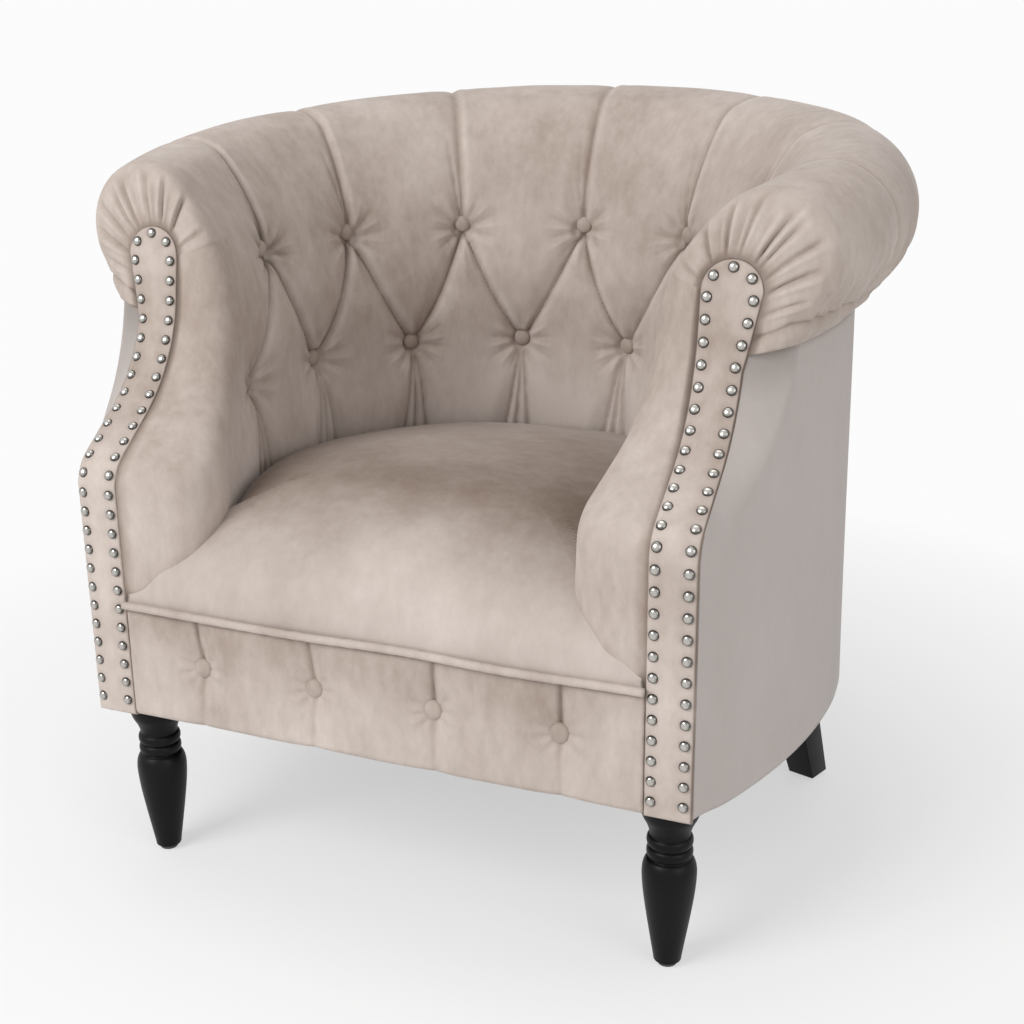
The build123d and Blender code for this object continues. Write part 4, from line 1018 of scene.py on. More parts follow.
def dome(radius, rim, height, rings, segments):
    """Points and faces of a domed disc standing on its rim, up the Z axis."""
    points = [(0.0, 0.0, 0.0)]
    levels = [(radius, 0.0), (radius * 1.03, rim * 0.5), (radius * 0.985, rim)]
    for ring in range(1, rings):
        turn = np.pi / 2 * ring / rings
        levels.append((radius * 0.985 * np.cos(turn), rim + (height - rim) * np.sin(turn)))
    for level_radius, z in levels:
        for segment in range(segments):
            turn = 2 * np.pi * segment / segments
            points.append((level_radius * np.cos(turn), level_radius * np.sin(turn), z))
    points.append((0.0, 0.0, height))
    faces = ring_faces(segments, len(levels), 1)
    last = 1 + (len(levels) - 1) * segments
    for segment in range(segments):
        after = (segment + 1) % segments
        faces.append((0, 1 + after, 1 + segment))
        faces.append((last + segment, last + after, len(points) - 1))
    return np.array(points), faces


def scatter(shape, places):
    """Copies of a shape's points and faces at places, each an origin and a facing direction."""
    points, faces = shape
    all_points = []
    all_faces = []
    for origin, direction in places:
        turn = np.array(Vector(direction).to_track_quat("Z", "Y").to_matrix())
        shift = len(points) * len(all_points)
        all_points.append(points @ turn.T + origin)
        all_faces += [tuple(index + shift for index in face) for face in faces]
    return np.vstack(all_points), all_faces


def build_back_buttons(sizes, material):
    """Covered buttons seated at the bottom of each tuft."""
    shape = dome(sizes.button_diameter / 2, BUTTON_RIM, sizes.button_thickness, 6, 28)
    for row, (name, steps, height) in enumerate(
        (("lower", LOWER_STEPS, LOWER_Z), ("upper", UPPER_STEPS, UPPER_Z))
    ):
        places = []
        for step in steps:
            foot, out, inset = button_place(step, row)
            sunk = foot - out * (inset + BUTTON_SWELL - sizes.tuft_depth - BUTTON_SUNK)
            places.append((sunk + np.array([0, 0, height]), -out))
        points, faces = scatter(shape, places)
        # Painted shade: the covered buttons are darker as they sit in their tufts.
        painted_shading_and_tone = np.full(len(points), -0.5)
        node = f"{name}_back_buttons"
        make_piece(f"{name}_buttons", points, faces, material, [node], painted_shading_and_tone)


def build_seat(sizes, material):
    """The tight seat: a crowned cushion with a long rounded nose, tucked in between the arms."""
    corner = INNER_X - SEAT_GAP
    inset = BACK_INSETS[0] + SEAT_PRESSED
    narrow_y = FRONT_Y + SEAT_NARROW
    ys = np.linspace(narrow_y, BARREL_Y, 24)
    arm = np.column_stack([barrel_half(ys) - inset, ys])
    turns = np.linspace(0, np.pi / 2, 30)[1:]
    radius = BARREL_RADIUS - inset
    back = np.column_stack([radius * np.cos(turns), BARREL_Y + radius * np.sin(turns)])
    bends = np.linspace(0, np.pi / 2, 14)[1:-1]
    nose = np.column_stack(
        [mix(corner, arm[0, 0], np.sin(bends)), mix(narrow_y, SEAT_LOW.y + 0.001, np.cos(bends))]
    )
    front = np.array([(0.0, SEAT_LOW.y), (corner, SEAT_LOW.y)])
    outline = both_sides(resample(np.vstack([front, nose, arm, back]), 260))
    rings = 1 - (1 - np.linspace(0, 1, 70)) ** 1.7
    count = len(outline)
    spans = np.linalg.norm(outline - SEAT_CENTRE, axis=1)
    points = []
    painted_shade_beside_arms = [[0.0]]
    for ring in rings[1:]:
        xy = mix(SEAT_CENTRE, outline, ring)
        setback = xy[:, 1] - SEAT_LOW.y
        edge = (1 - ring) * spans
        tuck = SEAT_TUCK * ramp(0.0, 0.05, setback)
        round_off = tuck - np.sqrt(np.maximum(tuck**2 - np.maximum(tuck - edge, 0) ** 2, 0))
        # Painted shade along the seat's edges beside the arms.
        beside_arm = ramp(0.001, 0.02, outline[:, 1] - SEAT_LOW.y)
        painted_shade_beside_arms.append(beside_arm * (1.3 * fold(edge, 0.006) + 0.60 * fold(edge, 0.040)))
        z = np.maximum(seat_top(xy[:, 0], setback, sizes) - round_off, SEAT_LOW.z + 0.001)
        points.append(np.column_stack([xy, z]))
    crown = seat_top(SEAT_CENTRE[:1], SEAT_CENTRE[1] - SEAT_LOW.y, sizes)[0]
    top = np.vstack([[[*SEAT_CENTRE, crown]], *points])
    ripple = smooth_noise(top, 0.16, 21) * SEAT_RIPPLE
    pull = SEAT_PULL * np.sin(top[:, 0] * 95 + 2 * np.sin(top[:, 0] * 23))
    pull *= 1 - ramp(0.0, 0.06, top[:, 1] - SEAT_LOW.y)
    top[:, 2] += ripple
    top[:, 1] += pull * ramp(0.0, 0.006, top[:, 1] - SEAT_LOW.y)
    walls = []
    for share in (0.5, 1.0):
        wall = points[-1].copy()
        wall[:, 2] = mix(wall[:, 2], SEAT_LOW.z, share)
        walls.append(wall)
    foot = walls[-1].copy()
    foot[:, :2] = mix(SEAT_CENTRE, outline, 0.9)
    foot[:, 2] = SEAT_FOOT_Z
    everything = np.vstack([top, *walls, foot])
    faces = [(0, 1 + (index + 1) % count, 1 + index) for index in range(count)]
    faces += ring_faces(count, len(points) + len(walls) + 1, 1)
    faces.append(tuple(range(len(everything) - count, len(everything))))
    setback = everything[:, 1] - SEAT_LOW.y
    # Painted light on the seat's nose, painted shade on its top and beside the arms, and tone that
    # differs at random.
    on_top = ramp(-0.03, 0.135, setback + 0.02 * smooth_noise(everything, 0.13, 9))
    tone = smooth_noise(everything, 0.22, 5) * 0.16 + mix(*SEAT_PAINTED_LIGHT_AND_SHADE, on_top)
    tone[: len(top)] -= np.concatenate(painted_shade_beside_arms)
    nodes = ["seat_cushion", "seat_foam", "seat_deck"]
    piece = make_piece("seat", everything, faces, material, nodes, tone)


def build_welt(material):
    """The piped welt along the foot of the seat, a little wavy as sewn piping is."""
    radius = (WELT_HIGH.z - WELT_LOW.z) / 2
    centre = (WELT_LOW + WELT_HIGH) / 2
    half = INNER_X + WELT_OVERLAP
    xs = np.linspace(-half, half, 200)
    segments = 16
    rings = []
    for x in xs:
        swell = radius * (0.97 + 0.03 * np.sin(x * 310))
        turns = np.linspace(0, 2 * np.pi, segments, endpoint=False)
        y = centre.y + 0.0006 * np.sin(x * 37) + swell * np.cos(turns)
        z = centre.z + 0.0010 * np.sin(x * 23 + 1) + swell * np.sin(turns)
        rings.append(np.column_stack([np.full(segments, x), y, z]))
    points = np.vstack(rings)
    faces = tube_faces(segments, len(rings))
    painted_shading_and_tone = np.full(len(points), 0.25)
    make_piece("welt", points, faces, material, ["seat_welt"], painted_shading_and_tone)


def build_apron(sizes, material):
    """The padded front below the seat, drawn in at its buttons with a pleat above and below each."""
    half = INNER_X - APRON_GAP
    across = np.linspace(-half, half, 300)
    low = APRON_LOW.z
    high = APRON_HIGH.z + APRON_OVERLAP
    shares = np.concatenate([[0.0, 0.004], np.linspace(0.012, 0.988, 60), [0.996, 1.0]])
    face_y = FRONT_Y + APRON_SUNK
    x, share = np.meshgrid(across, shares)
    z = mix(low, high, share)
    depth = np.zeros_like(x)
    painted_shading_and_tone = np.zeros_like(x)
    for button_x in APRON_BUTTON_XS:
        reach = np.hypot(x - button_x, z - APRON_BUTTON_Z)
        above = z > APRON_BUTTON_Z
        lean = np.where(above, 0.05, -0.03) * np.sign(button_x) * (z - APRON_BUTTON_Z)
        aside = x - button_x - lean
        fade = np.where(above, 0.9, 0.6) * (1 - 0.4 * ramp(0.0, 0.06, np.abs(z - APRON_BUTTON_Z)))
        depth += sizes.apron_tuck * fold(reach, APRON_DIMPLE)
        depth += APRON_VALLEY_DEPTH * fade * bell(aside, APRON_VALLEY)
        depth += APRON_FOLD_DEPTH * fade * fold(aside, APRON_FOLD)
        angle = np.arctan2(z - APRON_BUTTON_Z, x - button_x)
        depth += 0.0009 * np.cos(PUCKER_COUNT * angle) * bell(reach - 0.018, 0.009)
        # Painted highlight beside each fold, painted shade in it and round each button.
        painted_shading_and_tone += 0.3 * fade * bell(aside - 0.006, 0.004) - 1.3 * fade * fold(aside, APRON_FOLD)
        painted_shading_and_tone -= 0.4 * fold(reach, 0.02)
    flat = np.column_stack([x.ravel(), np.zeros(x.size), z.ravel()])
    depth += smooth_noise(flat, 0.09, 31).reshape(x.shape) * 0.0010
    for edge, reach in ((np.minimum(z - low, high - z), 0.008), (half - np.abs(x), 0.0015)):
        turn = np.clip(edge / reach, 0, 1)
        depth += reach * (1 - np.sqrt(1 - (1 - turn) ** 2))
    # Painted light at the foot and painted shadow under the welt.
    under_welt = ramp(APRON_BUTTON_Z - 0.012, high - 0.004, z + 0.012 * np.sin(x * 41 + 1))
    painted_shading_and_tone += mix(*APRON_PAINTED_LIGHT_AND_SHADOW, under_welt)
    front = np.column_stack([x.ravel(), (face_y + depth).ravel(), z.ravel()])
    rear = np.column_stack([x.ravel(), np.full(x.size, APRON_HIGH.y), z.ravel()])
    faces = two_skin_faces(*x.shape)
    points = np.vstack([front, rear])
    tone = smooth_noise(points, 0.12, 11) * 0.22
    painted_shadings_and_tones = np.concatenate([painted_shading_and_tone.ravel(), np.zeros(len(rear))]) + tone
    piece = make_piece("apron", points, faces, material, ["front_apron"], painted_shadings_and_tones)
    shape = dome(sizes.button_diameter / 2, BUTTON_RIM, sizes.button_thickness, 6, 28)
    button_y = face_y + sizes.apron_tuck + APRON_BUTTON_SUNK
    origins = [np.array([button_x, button_y, APRON_BUTTON_Z]) for button_x in APRON_BUTTON_XS]
    points, faces = scatter(shape, [(origin, (0, -1, 0)) for origin in origins])
    # Painted shade: the apron's buttons are darker as they sit in their dimples.
    painted_shading_and_tone = np.full(len(points), -0.4)
    make_piece("apron_studs", points, faces, material, ["apron_buttons"], painted_shading_and_tone)


def facing_ring(margin, count):
    """Points round the right facing's outline, drawn in by a margin, from the inner foot round."""
    foot = BASE_Z + margin
    heights = np.linspace(foot, CAP_Z, count)
    inner = np.column_stack([np.full(count, INNER_X + margin), heights])
    turns = np.linspace(np.pi, 0, 40)[1:-1]
    radius = CAP_RADIUS - margin
    cap = np.column_stack([CAP_X + radius * np.cos(turns), CAP_Z + radius * np.sin(turns)])
    outer = np.column_stack([facing_half(heights) - margin, heights])[::-1]
    return np.vstack([inner, cap, outer])


def nail_places():
    """Origin and direction of each nailhead of the right facing, evenly spaced along its edge."""
    heights = np.linspace(BASE_Z, FACING_HIGH.z, 1200)
    side_view = np.column_stack([facing_setback(heights), heights])
    run = lengths_along(side_view)
    extra = run[-1] - (FACING_HIGH.z - BASE_Z)
    flare = FLARE_Z - BASE_Z + extra
    cap = CAP_Z - BASE_Z + extra
    radius = CAP_RADIUS - NAIL_INSET
    turns = np.linspace(0, np.pi, 60)
    outer = INNER_X + FACING_WIDTH - NAIL_INSET
    inner = INNER_X + NAIL_INSET
    path = np.vstack(
        [
            [(outer, NAIL_START), (outer, flare)],
            np.column_stack([CAP_X + radius * np.cos(turns), cap + radius * np.sin(turns)]),
            [(inner, flare), (inner, NAIL_START)],
        ]
    )
    length = lengths_along(path)[-1]
    places = []
    for x, along in resample(path, round(length / NAIL_SPACING) + 1):
        setback = np.interp(along, run, side_view[:, 0])
        z = np.interp(along, run, side_view[:, 1])
        step = 0.002
        slope = (facing_setback(z + step) - facing_setback(z - step)) / (2 * step)
        places.append((np.array([x, FRONT_Y + float(setback), z]), (0.0, -1.0, float(slope))))
    return places


def build_facings(material):
    """The padded S-shaped strips on the arm fronts, dimpled where the nails hold them."""
    count = 190
    nails = np.array([origin for origin, _ in nail_places()])
    rings = []
    for margin, rise in FACING_PROFILE:
        ring = facing_ring(margin, count)
        y = FRONT_Y + facing_setback(ring[:, 1]) - rise + FACING_SUNK
        rings.append(np.column_stack([ring[:, 0], y, ring[:, 1]]))
    points = np.vstack(rings)
    gaps = np.linalg.norm(points[:, None, :] - nails[None, :, :], axis=2).min(axis=1)
    dimple = bell(gaps, NAIL_DIMPLE_REACH)
    points[:, 1] += NAIL_DIMPLE * dimple + 0.0005 * smooth_noise(points, 0.05, 17)
    size = len(rings[0])
    faces = ring_faces(size, len(rings))
    for start in (0, (len(rings) - 1) * size):
        for index in range(size // 2 - 1):
            opposite = start + size - 1 - index
            faces.append((start + index, start + index + 1, opposite - 1, opposite))
    # The facing's shading: painted light over the whole facing, painted shade in the dimples round
    # the nails, a painted shadow along its edge, darker up its neck, and tone that differs at random.
    edge = np.repeat([margin < FACING_EDGE for margin, _ in FACING_PROFILE], size)
    heights = points[:, 2]
    neck = ramp(0.44, 0.50, heights) * (1 - 0.5 * ramp(0.58, 0.64, heights))
    tone = smooth_noise(points, 0.07, 13) * 0.35 - 0.3 * dimple + 0.45 - 0.62 * neck - 1.5 * edge
    for name, side in SIDES:
        placed = points * (side, 1, 1)
        nodes = [f"{name}_arm_facing"]
        piece = make_piece(f"{name}_facing", placed, faces, material, nodes, tone)


def build_nails(sizes, material):
    """Domed nailheads along the facings' edges."""
    radius = sizes.nail_diameter / 2
    shape = dome(radius, NAIL_RIM, sizes.nail_height, 8, 24)
    from_crown = np.hypot(shape[0][:, 0], shape[0][:, 1]) / radius
    # Painted dark reflection: the nailheads darken from the crown towards the rim.
    painted_dark_rim = NAIL_PAINTED_DARK_RIM * ramp(0.42, 0.98, from_crown)
    for name, side in SIDES:
        mirror = np.array([side, 1, 1])
        places = [
            (origin * mirror - np.array(direction) * NAIL_SUNK, np.array(direction) * mirror)
            for origin, direction in nail_places()
        ]
        points, faces = scatter(shape, places)
        rims = np.tile(painted_dark_rim, len(places))
        nodes = [f"{name}_nailheads"]
        make_piece(f"{name}_nails", points, faces, material, nodes, rims)


def build_outside(sizes, material):
    """The smooth outside cover, from facing to facing round the back, turned under at the foot."""
    runs = runs_round(COVER_TURN * np.linspace(0, 1, 16) ** 2, 300)
    levels = np.concatenate([[BASE_Z - 0.0006], np.linspace(BASE_Z - 0.0004, SEAM_Z + 0.002, 60)])
    inward = np.concatenate([[COVER_UNDER], 0.0015 * (1 - ramp(0, 0.006, levels[1:] - BASE_Z))])
    points = []
    turned = []
    for thickness in (0.0, sizes.cover_thickness):
        for z, tuck in zip(levels, inward):
            for run in runs:
                side = 1 if run > 0 else -1
                ahead = FULL_RUN - abs(run)
                shrink = COVER_DRAW_IN * (z - BASE_Z) / (SEAM_Z - BASE_Z) + tuck + thickness
                if ahead < ARM_RUN:
                    y = arm_y(float(facing_setback(z)) + 0.004, ahead)
                    full = barrel_half(y) - shrink
                    edge = float(facing_half(z)) - 0.0004 - tuck - thickness
                    share = np.sin(np.pi / 2 * min(ahead / COVER_TURN, 1))
                    points.append((side * mix(edge, full, share), y, z))
                    turned.append(ramp(0.0, 0.04, full - edge) * (1 - ramp(0.020, 0.075, ahead)))
                else:
                    turn = abs(run) / RING_RADIUS
                    radius = BARREL_RADIUS - shrink
                    y = BARREL_Y + (radius + rake(z)) * np.cos(turn)
                    points.append((side * radius * np.sin(turn), y, z))
                    turned.append(0.0)
    points = np.array(points)
    points[:, 0] += smooth_noise(points, 0.30, 41) * 0.0009 * np.sign(points[:, 0])
    rows = len(levels)
    columns = len(runs)
    faces = two_skin_faces(rows, columns)
    # Painted shade below the roll and in the turn from the facing's edge.
    shade = COVER_SEAM_SHADE * ramp(SEAM_Z - 0.05, SEAM_Z, points[:, 2])
    shade = shade + COVER_TURN_SHADE * np.array(turned)
    tone = smooth_noise(points, 0.25, 19) * 0.2 + shade
    nodes = ["outside_cover", "shell_liner"]
    panel = make_piece("outside_panel", points, faces, material, nodes, tone)


def lathe(profile, segments):
    """Points and faces of a turned form about the Z axis, from a profile of radius and height."""
    points = []
    for radius, z in profile:
        for segment in range(segments):
            turn = 2 * np.pi * segment / segments
            points.append((radius * np.cos(turn), radius * np.sin(turn), z))
    return np.array(points), tube_faces(segments, len(profile))


def front_leg_profile():
    """Radius and height up a front leg: foot, vase, two beads, bell and collar."""
    foot = FRONT_LEG_LOW.z
    top = FRONT_LEG_HIGH.z
    knots = [
        (0.0115, foot),
        (0.0132, foot + 0.0012),
        (0.0139, foot + 0.006),
        (0.0172, 0.030),
        (0.0212, 0.055),
        (0.0244, 0.078),
        (0.0258, 0.096),
        (0.0252, 0.106),
        (0.0228, 0.1125),
        (0.0200, 0.1150),
    ]
    vase = spline(np.array(knots), 6)
    beads = []
    for bead_z in BEAD_ZS:
        for turn in np.linspace(-np.pi / 2, np.pi / 2, 12):
            radius = BEAD_CORE + BEAD_SWELL * np.cos(turn)
            beads.append((radius, bead_z + BEAD_HALF * np.sin(turn)))
    bell_knots = [
        (0.0193, 0.1390),
        (0.0197, 0.1430),
        (0.0222, 0.1500),
        (0.0262, 0.1580),
        (0.0279, 0.1650),
    ]
    bell_curve = spline(np.array(bell_knots), 6)
    collar = [(0.0281, 0.1680), (0.0281, top - 0.0005), (0.0275, top)]
    return np.vstack([vase, beads, bell_curve, collar])


def build_legs(sizes, material):
    """Turned front legs and square rear legs that splay back, all in black lacquer."""
    points, faces = lathe(front_leg_profile(), 56)
    centre = (FRONT_LEG_LOW + FRONT_LEG_HIGH) / 2
    for name, side in SIDES:
        placed = points + np.array([side * centre.x, centre.y, 0.0])
        node = f"front_{name}_leg"
        make_piece(f"{node}_turned", placed, faces, material, [node])
    corners = rounded_square()
    for name, side in SIDES:
        node = f"rear_{name}_leg"
        low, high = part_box(node)
        yaw = REAR_YAW * side
        turn = np.array([[np.cos(yaw), -np.sin(yaw)], [np.sin(yaw), np.cos(yaw)]])
        levels = []
        for share in np.linspace(0, 1, 8):
            size = mix(sizes.rear_foot, sizes.rear_top, share)
            middle = (side * mix(*REAR_XS, share), FRONT_Y + mix(*REAR_SETBACKS, share))
            level = (corners * (size / REAR_SQUARE)) @ turn.T + np.array(middle)
            z = np.full(len(corners), mix(low.z, high.z, share))
            levels.append(np.column_stack([level, z]))
        points = np.vstack(levels)
        faces = tube_faces(len(corners), len(levels))
        leg = make_piece(f"{node}_planed", points, faces, material, [node])
        leg.data.set_sharp_from_angle(angle=np.radians(40))


def rounded_square():
    """A rear leg's square section with eased corners, as points round it."""
    straight = REAR_SQUARE / 2 - REAR_EASE
    points = []
    for quarter, corner in enumerate(((1, 1), (-1, 1), (-1, -1), (1, -1))):
        for bend in np.linspace(0, np.pi / 2, 4):
            turn = quarter * np.pi / 2 + bend
            ease = REAR_EASE * np.array([np.cos(turn), np.sin(turn)])
            points.append(np.array(corner) * straight + ease)
    return np.array(points)


def build_dust_cover(material):
    """The thin black cloth tacked under the frame, sagging a little in the middle."""
    ys = np.linspace(DUST_LOW.y, BARREL_Y, 40)
    side = np.column_stack([barrel_half(ys) - CLOTH_INSET, ys])
    turns = np.linspace(0, np.pi / 2, 60)[1:]
    radius = BARREL_RADIUS - CLOTH_INSET
    back_ys = BARREL_Y + (radius + RAKE_AT_BASE) * np.sin(turns)
    back = np.column_stack([radius * np.cos(turns), back_ys])
    front = np.column_stack([np.linspace(0, side[0, 0], 20)[:-1], np.full(19, DUST_LOW.y)])
    outline = both_sides(np.vstack([front, side, back]))
    centre = np.array([0.0, -0.06])
    count = len(outline)
    layers = []
    for level in (DUST_LOW.z, DUST_HIGH.z):
        layers.append([[*centre, level - CLOTH_SAG]])
        for ring in np.linspace(0, 1, CLOTH_RINGS + 1)[1:]:
            xy = mix(centre, outline, ring)
            sag = CLOTH_SAG * (1 - ring**2) + 0.0006 * np.sin(xy[:, 0] * 60) * (1 - ring)
            layers.append(np.column_stack([xy, level - sag]))
    points = np.vstack(layers)
    per_layer = len(points) // 2
    faces = []
    rim = per_layer - count
    for index in range(count):
        after = (index + 1) % count
        for shift in (0, per_layer):
            faces.append((shift, shift + 1 + after, shift + 1 + index))
        faces.append((rim + index, rim + after, per_layer + rim + after, per_layer + rim + index))
    for shift in (0, per_layer):
        faces += ring_faces(count, CLOTH_RINGS, shift + 1)
    cloth = make_piece("dust_cloth_sheet", points, faces, material, ["dust_cover"])


def paint_frame(colours):
    """Give the solids that stay in view their finishes: the frame, springs, fixings and glides."""
    finishes = {
        "frame_wood": timber("bare beech", colours.frame_wood, 34.0),
        "fibreboard": timber("fibreboard", colours.fibreboard, 160.0),
        "spring_steel": metal("oiled spring wire", colours.spring_steel, 0.42, 90.0),
        "zinc_steel": metal("zinc plate", colours.zinc, 0.34, 120.0),
        "nylon": moulded("black nylon", colours.nylon),
    }
    slots = {entry["node"]: entry["material_slot"] for entry in frame["record"]["subparts"]}
    for name, solid in frame["nodes"].items():
        finish = finishes.get(slots[name])
        if finish:
            solid.data.materials.clear()
            solid.data.materials.append(finish)


def length_property(name, description, default):
    """A length that a user may change."""
    return bpy.props.FloatProperty(
        name=name, description=description, default=default, min=0, unit="LENGTH"
    )


def colour_property(name, description, default):
    """A colour that a user may change."""
    return bpy.props.FloatVectorProperty(
        name=name, description=description, default=default, size=3, min=0, max=1, subtype="COLOR"
    )


class ChairSizes(bpy.types.PropertyGroup):
    """Sizes of the upholstery and trim that a user may change."""

    tuft_depth: length_property("Tuft depth", "How far each button is drawn in", 0.027)
    dimple_reach: length_property("Dimple reach", "How far a tuft's hollow spreads", 0.031)
    crease_depth: length_property("Crease depth", "Soft valley along a pleat", 0.0135)
    pleat_depth: length_property("Pleat depth", "Sharp fold along a pleat", 0.0068)
    gather_depth: length_property("Gather depth", "Gathers at a roll's end", 0.0080)
    arm_nose: length_property("Arm nose", "Length of an arm's rounded front", 0.075)
    roll_nose: length_property("Roll nose", "Length of the roll's rounded front end", 0.050)
    seat_arch: length_property("Seat arch", "Fall of the seat from its middle to the arms", 0.046)
    apron_tuck: length_property("Apron tuck", "How far the apron's buttons are drawn in", 0.0075)
    button_diameter: length_property("Button diameter", "Width of a covered button", 0.0195)
    button_thickness: length_property("Button thickness", "Height of a covered button", 0.0078)
    nail_diameter: length_property("Nail diameter", "Width of a nailhead", 0.0098)
    nail_height: length_property("Nail height", "Height of a nailhead", 0.0036)
    cover_thickness: length_property("Cover thickness", "Thickness of the outside cover", 0.0025)
    rear_top: length_property("Rear leg top", "Width of a rear leg at the frame", 0.046)
    rear_foot: length_property("Rear leg foot", "Width of a rear leg at the floor", 0.032)


class ChairColours(bpy.types.PropertyGroup):
    """Colours of the chair's finishes."""

    # Each velvet has a light and a shade colour, lit and shaded copies of it; the points' painted
    # shading and the random mottling move its colour between the two.
    velvet_light: colour_property("Velvet, light", "Velvet in the light", (0.60, 0.525, 0.478))
    velvet_shade: colour_property("Velvet, shade", "Velvet that turns away", (0.315, 0.248, 0.206))
    panel_light: colour_property("Panel, light", "Outside cover, brushed", (0.55, 0.505, 0.480))
    panel_shade: colour_property("Panel, shade", "Outside cover, dark patches", (0.44, 0.392, 0.366))
    # The seat's light colour shows its painted light on the nose and its shade colour its painted
    # shade on top, besides its random mottling.
    seat_light: colour_property("Seat, light", "Seat velvet, brushed up", (0.64, 0.57, 0.525))
    seat_shade: colour_property("Seat, shade", "Seat velvet, worn flat", (0.170, 0.115, 0.082))
    sheen: colour_property("Sheen", "Pale rim of the pile", (0.95, 0.90, 0.87))
    lacquer: colour_property("Lacquer", "Legs", (0.0025, 0.0025, 0.0025))
    nail: colour_property("Nailheads", "Polished nickel", (0.60, 0.575, 0.54))
    dust_cloth: colour_property("Dust cloth", "Cloth under the frame", (0.012, 0.012, 0.012))
    frame_wood: colour_property("Frame wood", "Rails, blocks and formers", (0.62, 0.48, 0.32))
    fibreboard: colour_property("Fibreboard", "Liner behind the outside cover", (0.46, 0.36, 0.25))
    spring_steel: colour_property("Springs", "Oiled spring wire", (0.30, 0.30, 0.31))
    zinc: colour_property("Fixings", "Zinc plated bolts and nuts", (0.65, 0.65, 0.66))
    nylon: colour_property("Glides", "Moulded glides", (0.05, 0.05, 0.05))
    floor: colour_property("Floor", "Studio floor", (0.86, 0.86, 0.86))


def finish_named(name, maker, *arguments):
    """A material made once and shared by the pieces that use it."""
    return bpy.data.materials.get(name) or maker(name, *arguments)


def arm_velvet(colours):
    """Velvet of the pad, facings, welt and apron."""
    light, shade = colours.velvet_light, colours.velvet_shade
    return finish_named("blush velvet", velvet, light, shade, colours.sheen)


class CHAIR_OT_back_pad(bpy.types.Operator):
    """Build the tufted back, arms and roll"""

    bl_idname = "chair.back_pad"
    bl_label = "Back Pad"

    def execute(self, context):
        build_back_pad(context.scene.chair_sizes, arm_velvet(context.scene.chair_colours))
        return {"FINISHED"}


class CHAIR_OT_back_buttons(bpy.types.Operator):
    """Build the covered buttons of the back"""

    bl_idname = "chair.back_buttons"
    bl_label = "Back Buttons"

    def execute(self, context):
        build_back_buttons(context.scene.chair_sizes, arm_velvet(context.scene.chair_colours))
        return {"FINISHED"}


class CHAIR_OT_seat(bpy.types.Operator):
    """Build the crowned seat and its welt"""

    bl_idname = "chair.seat"
    bl_label = "Seat"

    def execute(self, context):
        colours = context.scene.chair_colours
        light, shade = colours.seat_light, colours.seat_shade
        seat_velvet = finish_named(
            "worn seat velvet", velvet, light, shade, colours.sheen, SEAT_BRUSHED
        )
        build_seat(context.scene.chair_sizes, seat_velvet)
        build_welt(arm_velvet(colours))
        return {"FINISHED"}


class CHAIR_OT_apron(bpy.types.Operator):
    """Build the buttoned apron below the seat"""

    bl_idname = "chair.apron"
    bl_label = "Apron"

    def execute(self, context):
        build_apron(context.scene.chair_sizes, arm_velvet(context.scene.chair_colours))
        return {"FINISHED"}


class CHAIR_OT_facings(bpy.types.Operator):
    """Build the arm facings and their nailheads"""

    bl_idname = "chair.facings"
    bl_label = "Facings"

    def execute(self, context):
        colours = context.scene.chair_colours
        build_facings(arm_velvet(colours))
        nickel = finish_named("polished nickel", metal, colours.nail, 0.16, 300.0)
        build_nails(context.scene.chair_sizes, nickel)
        return {"FINISHED"}


class CHAIR_OT_outside(bpy.types.Operator):
    """Build the smooth outside cover"""

    bl_idname = "chair.outside"
    bl_label = "Outside Cover"

    def execute(self, context):
        colours = context.scene.chair_colours
        light, shade = colours.panel_light, colours.panel_shade
        panel_velvet = finish_named(
            "brushed panel velvet", velvet, light, shade, colours.sheen, PANEL_BRUSHED
        )
        build_outside(context.scene.chair_sizes, panel_velvet)
        return {"FINISHED"}


class CHAIR_OT_legs(bpy.types.Operator):
    """Build the turned and planed legs"""

    bl_idname = "chair.legs"
    bl_label = "Legs"

    def execute(self, context):
        black = finish_named("black lacquer", lacquer, context.scene.chair_colours.lacquer)
        build_legs(context.scene.chair_sizes, black)
        return {"FINISHED"}


class CHAIR_OT_underside(bpy.types.Operator):
    """Build the dust cloth and finish the frame inside the chair"""

    bl_idname = "chair.underside"
    bl_label = "Underside and Frame"

    def execute(self, context):
        colours = context.scene.chair_colours
        build_dust_cover(finish_named("dust cloth", plain_cloth, colours.dust_cloth))
        paint_frame(colours)
        return {"FINISHED"}


def add_lamp(name, place, width, power):
    """A soft square lamp aimed at the chair."""
    lamp = bpy.data.lights.new(name, "AREA")
    lamp.shape = "SQUARE"
    lamp.size = width
    lamp.energy = power
    holder = bpy.data.objects.new(name, lamp)
    holder.location = place
    holder.rotation_euler = (LAMP_TARGET - Vector(place)).to_track_quat("-Z", "Y").to_euler()
    bpy.context.scene.collection.objects.link(holder)


def seen_directly(tree):
    """1 for rays from the camera, off gloss or through clear pieces, which see a white ground."""
    rays = [
        add_node(tree, "ShaderNodeLightPath", {}, {}, output=name)
        for name in ("Is Camera Ray", "Is Glossy Ray", "Is Transmission Ray")
    ]
    return (rays[0] + rays[1] + rays[2]).between(0.0, 1.0)


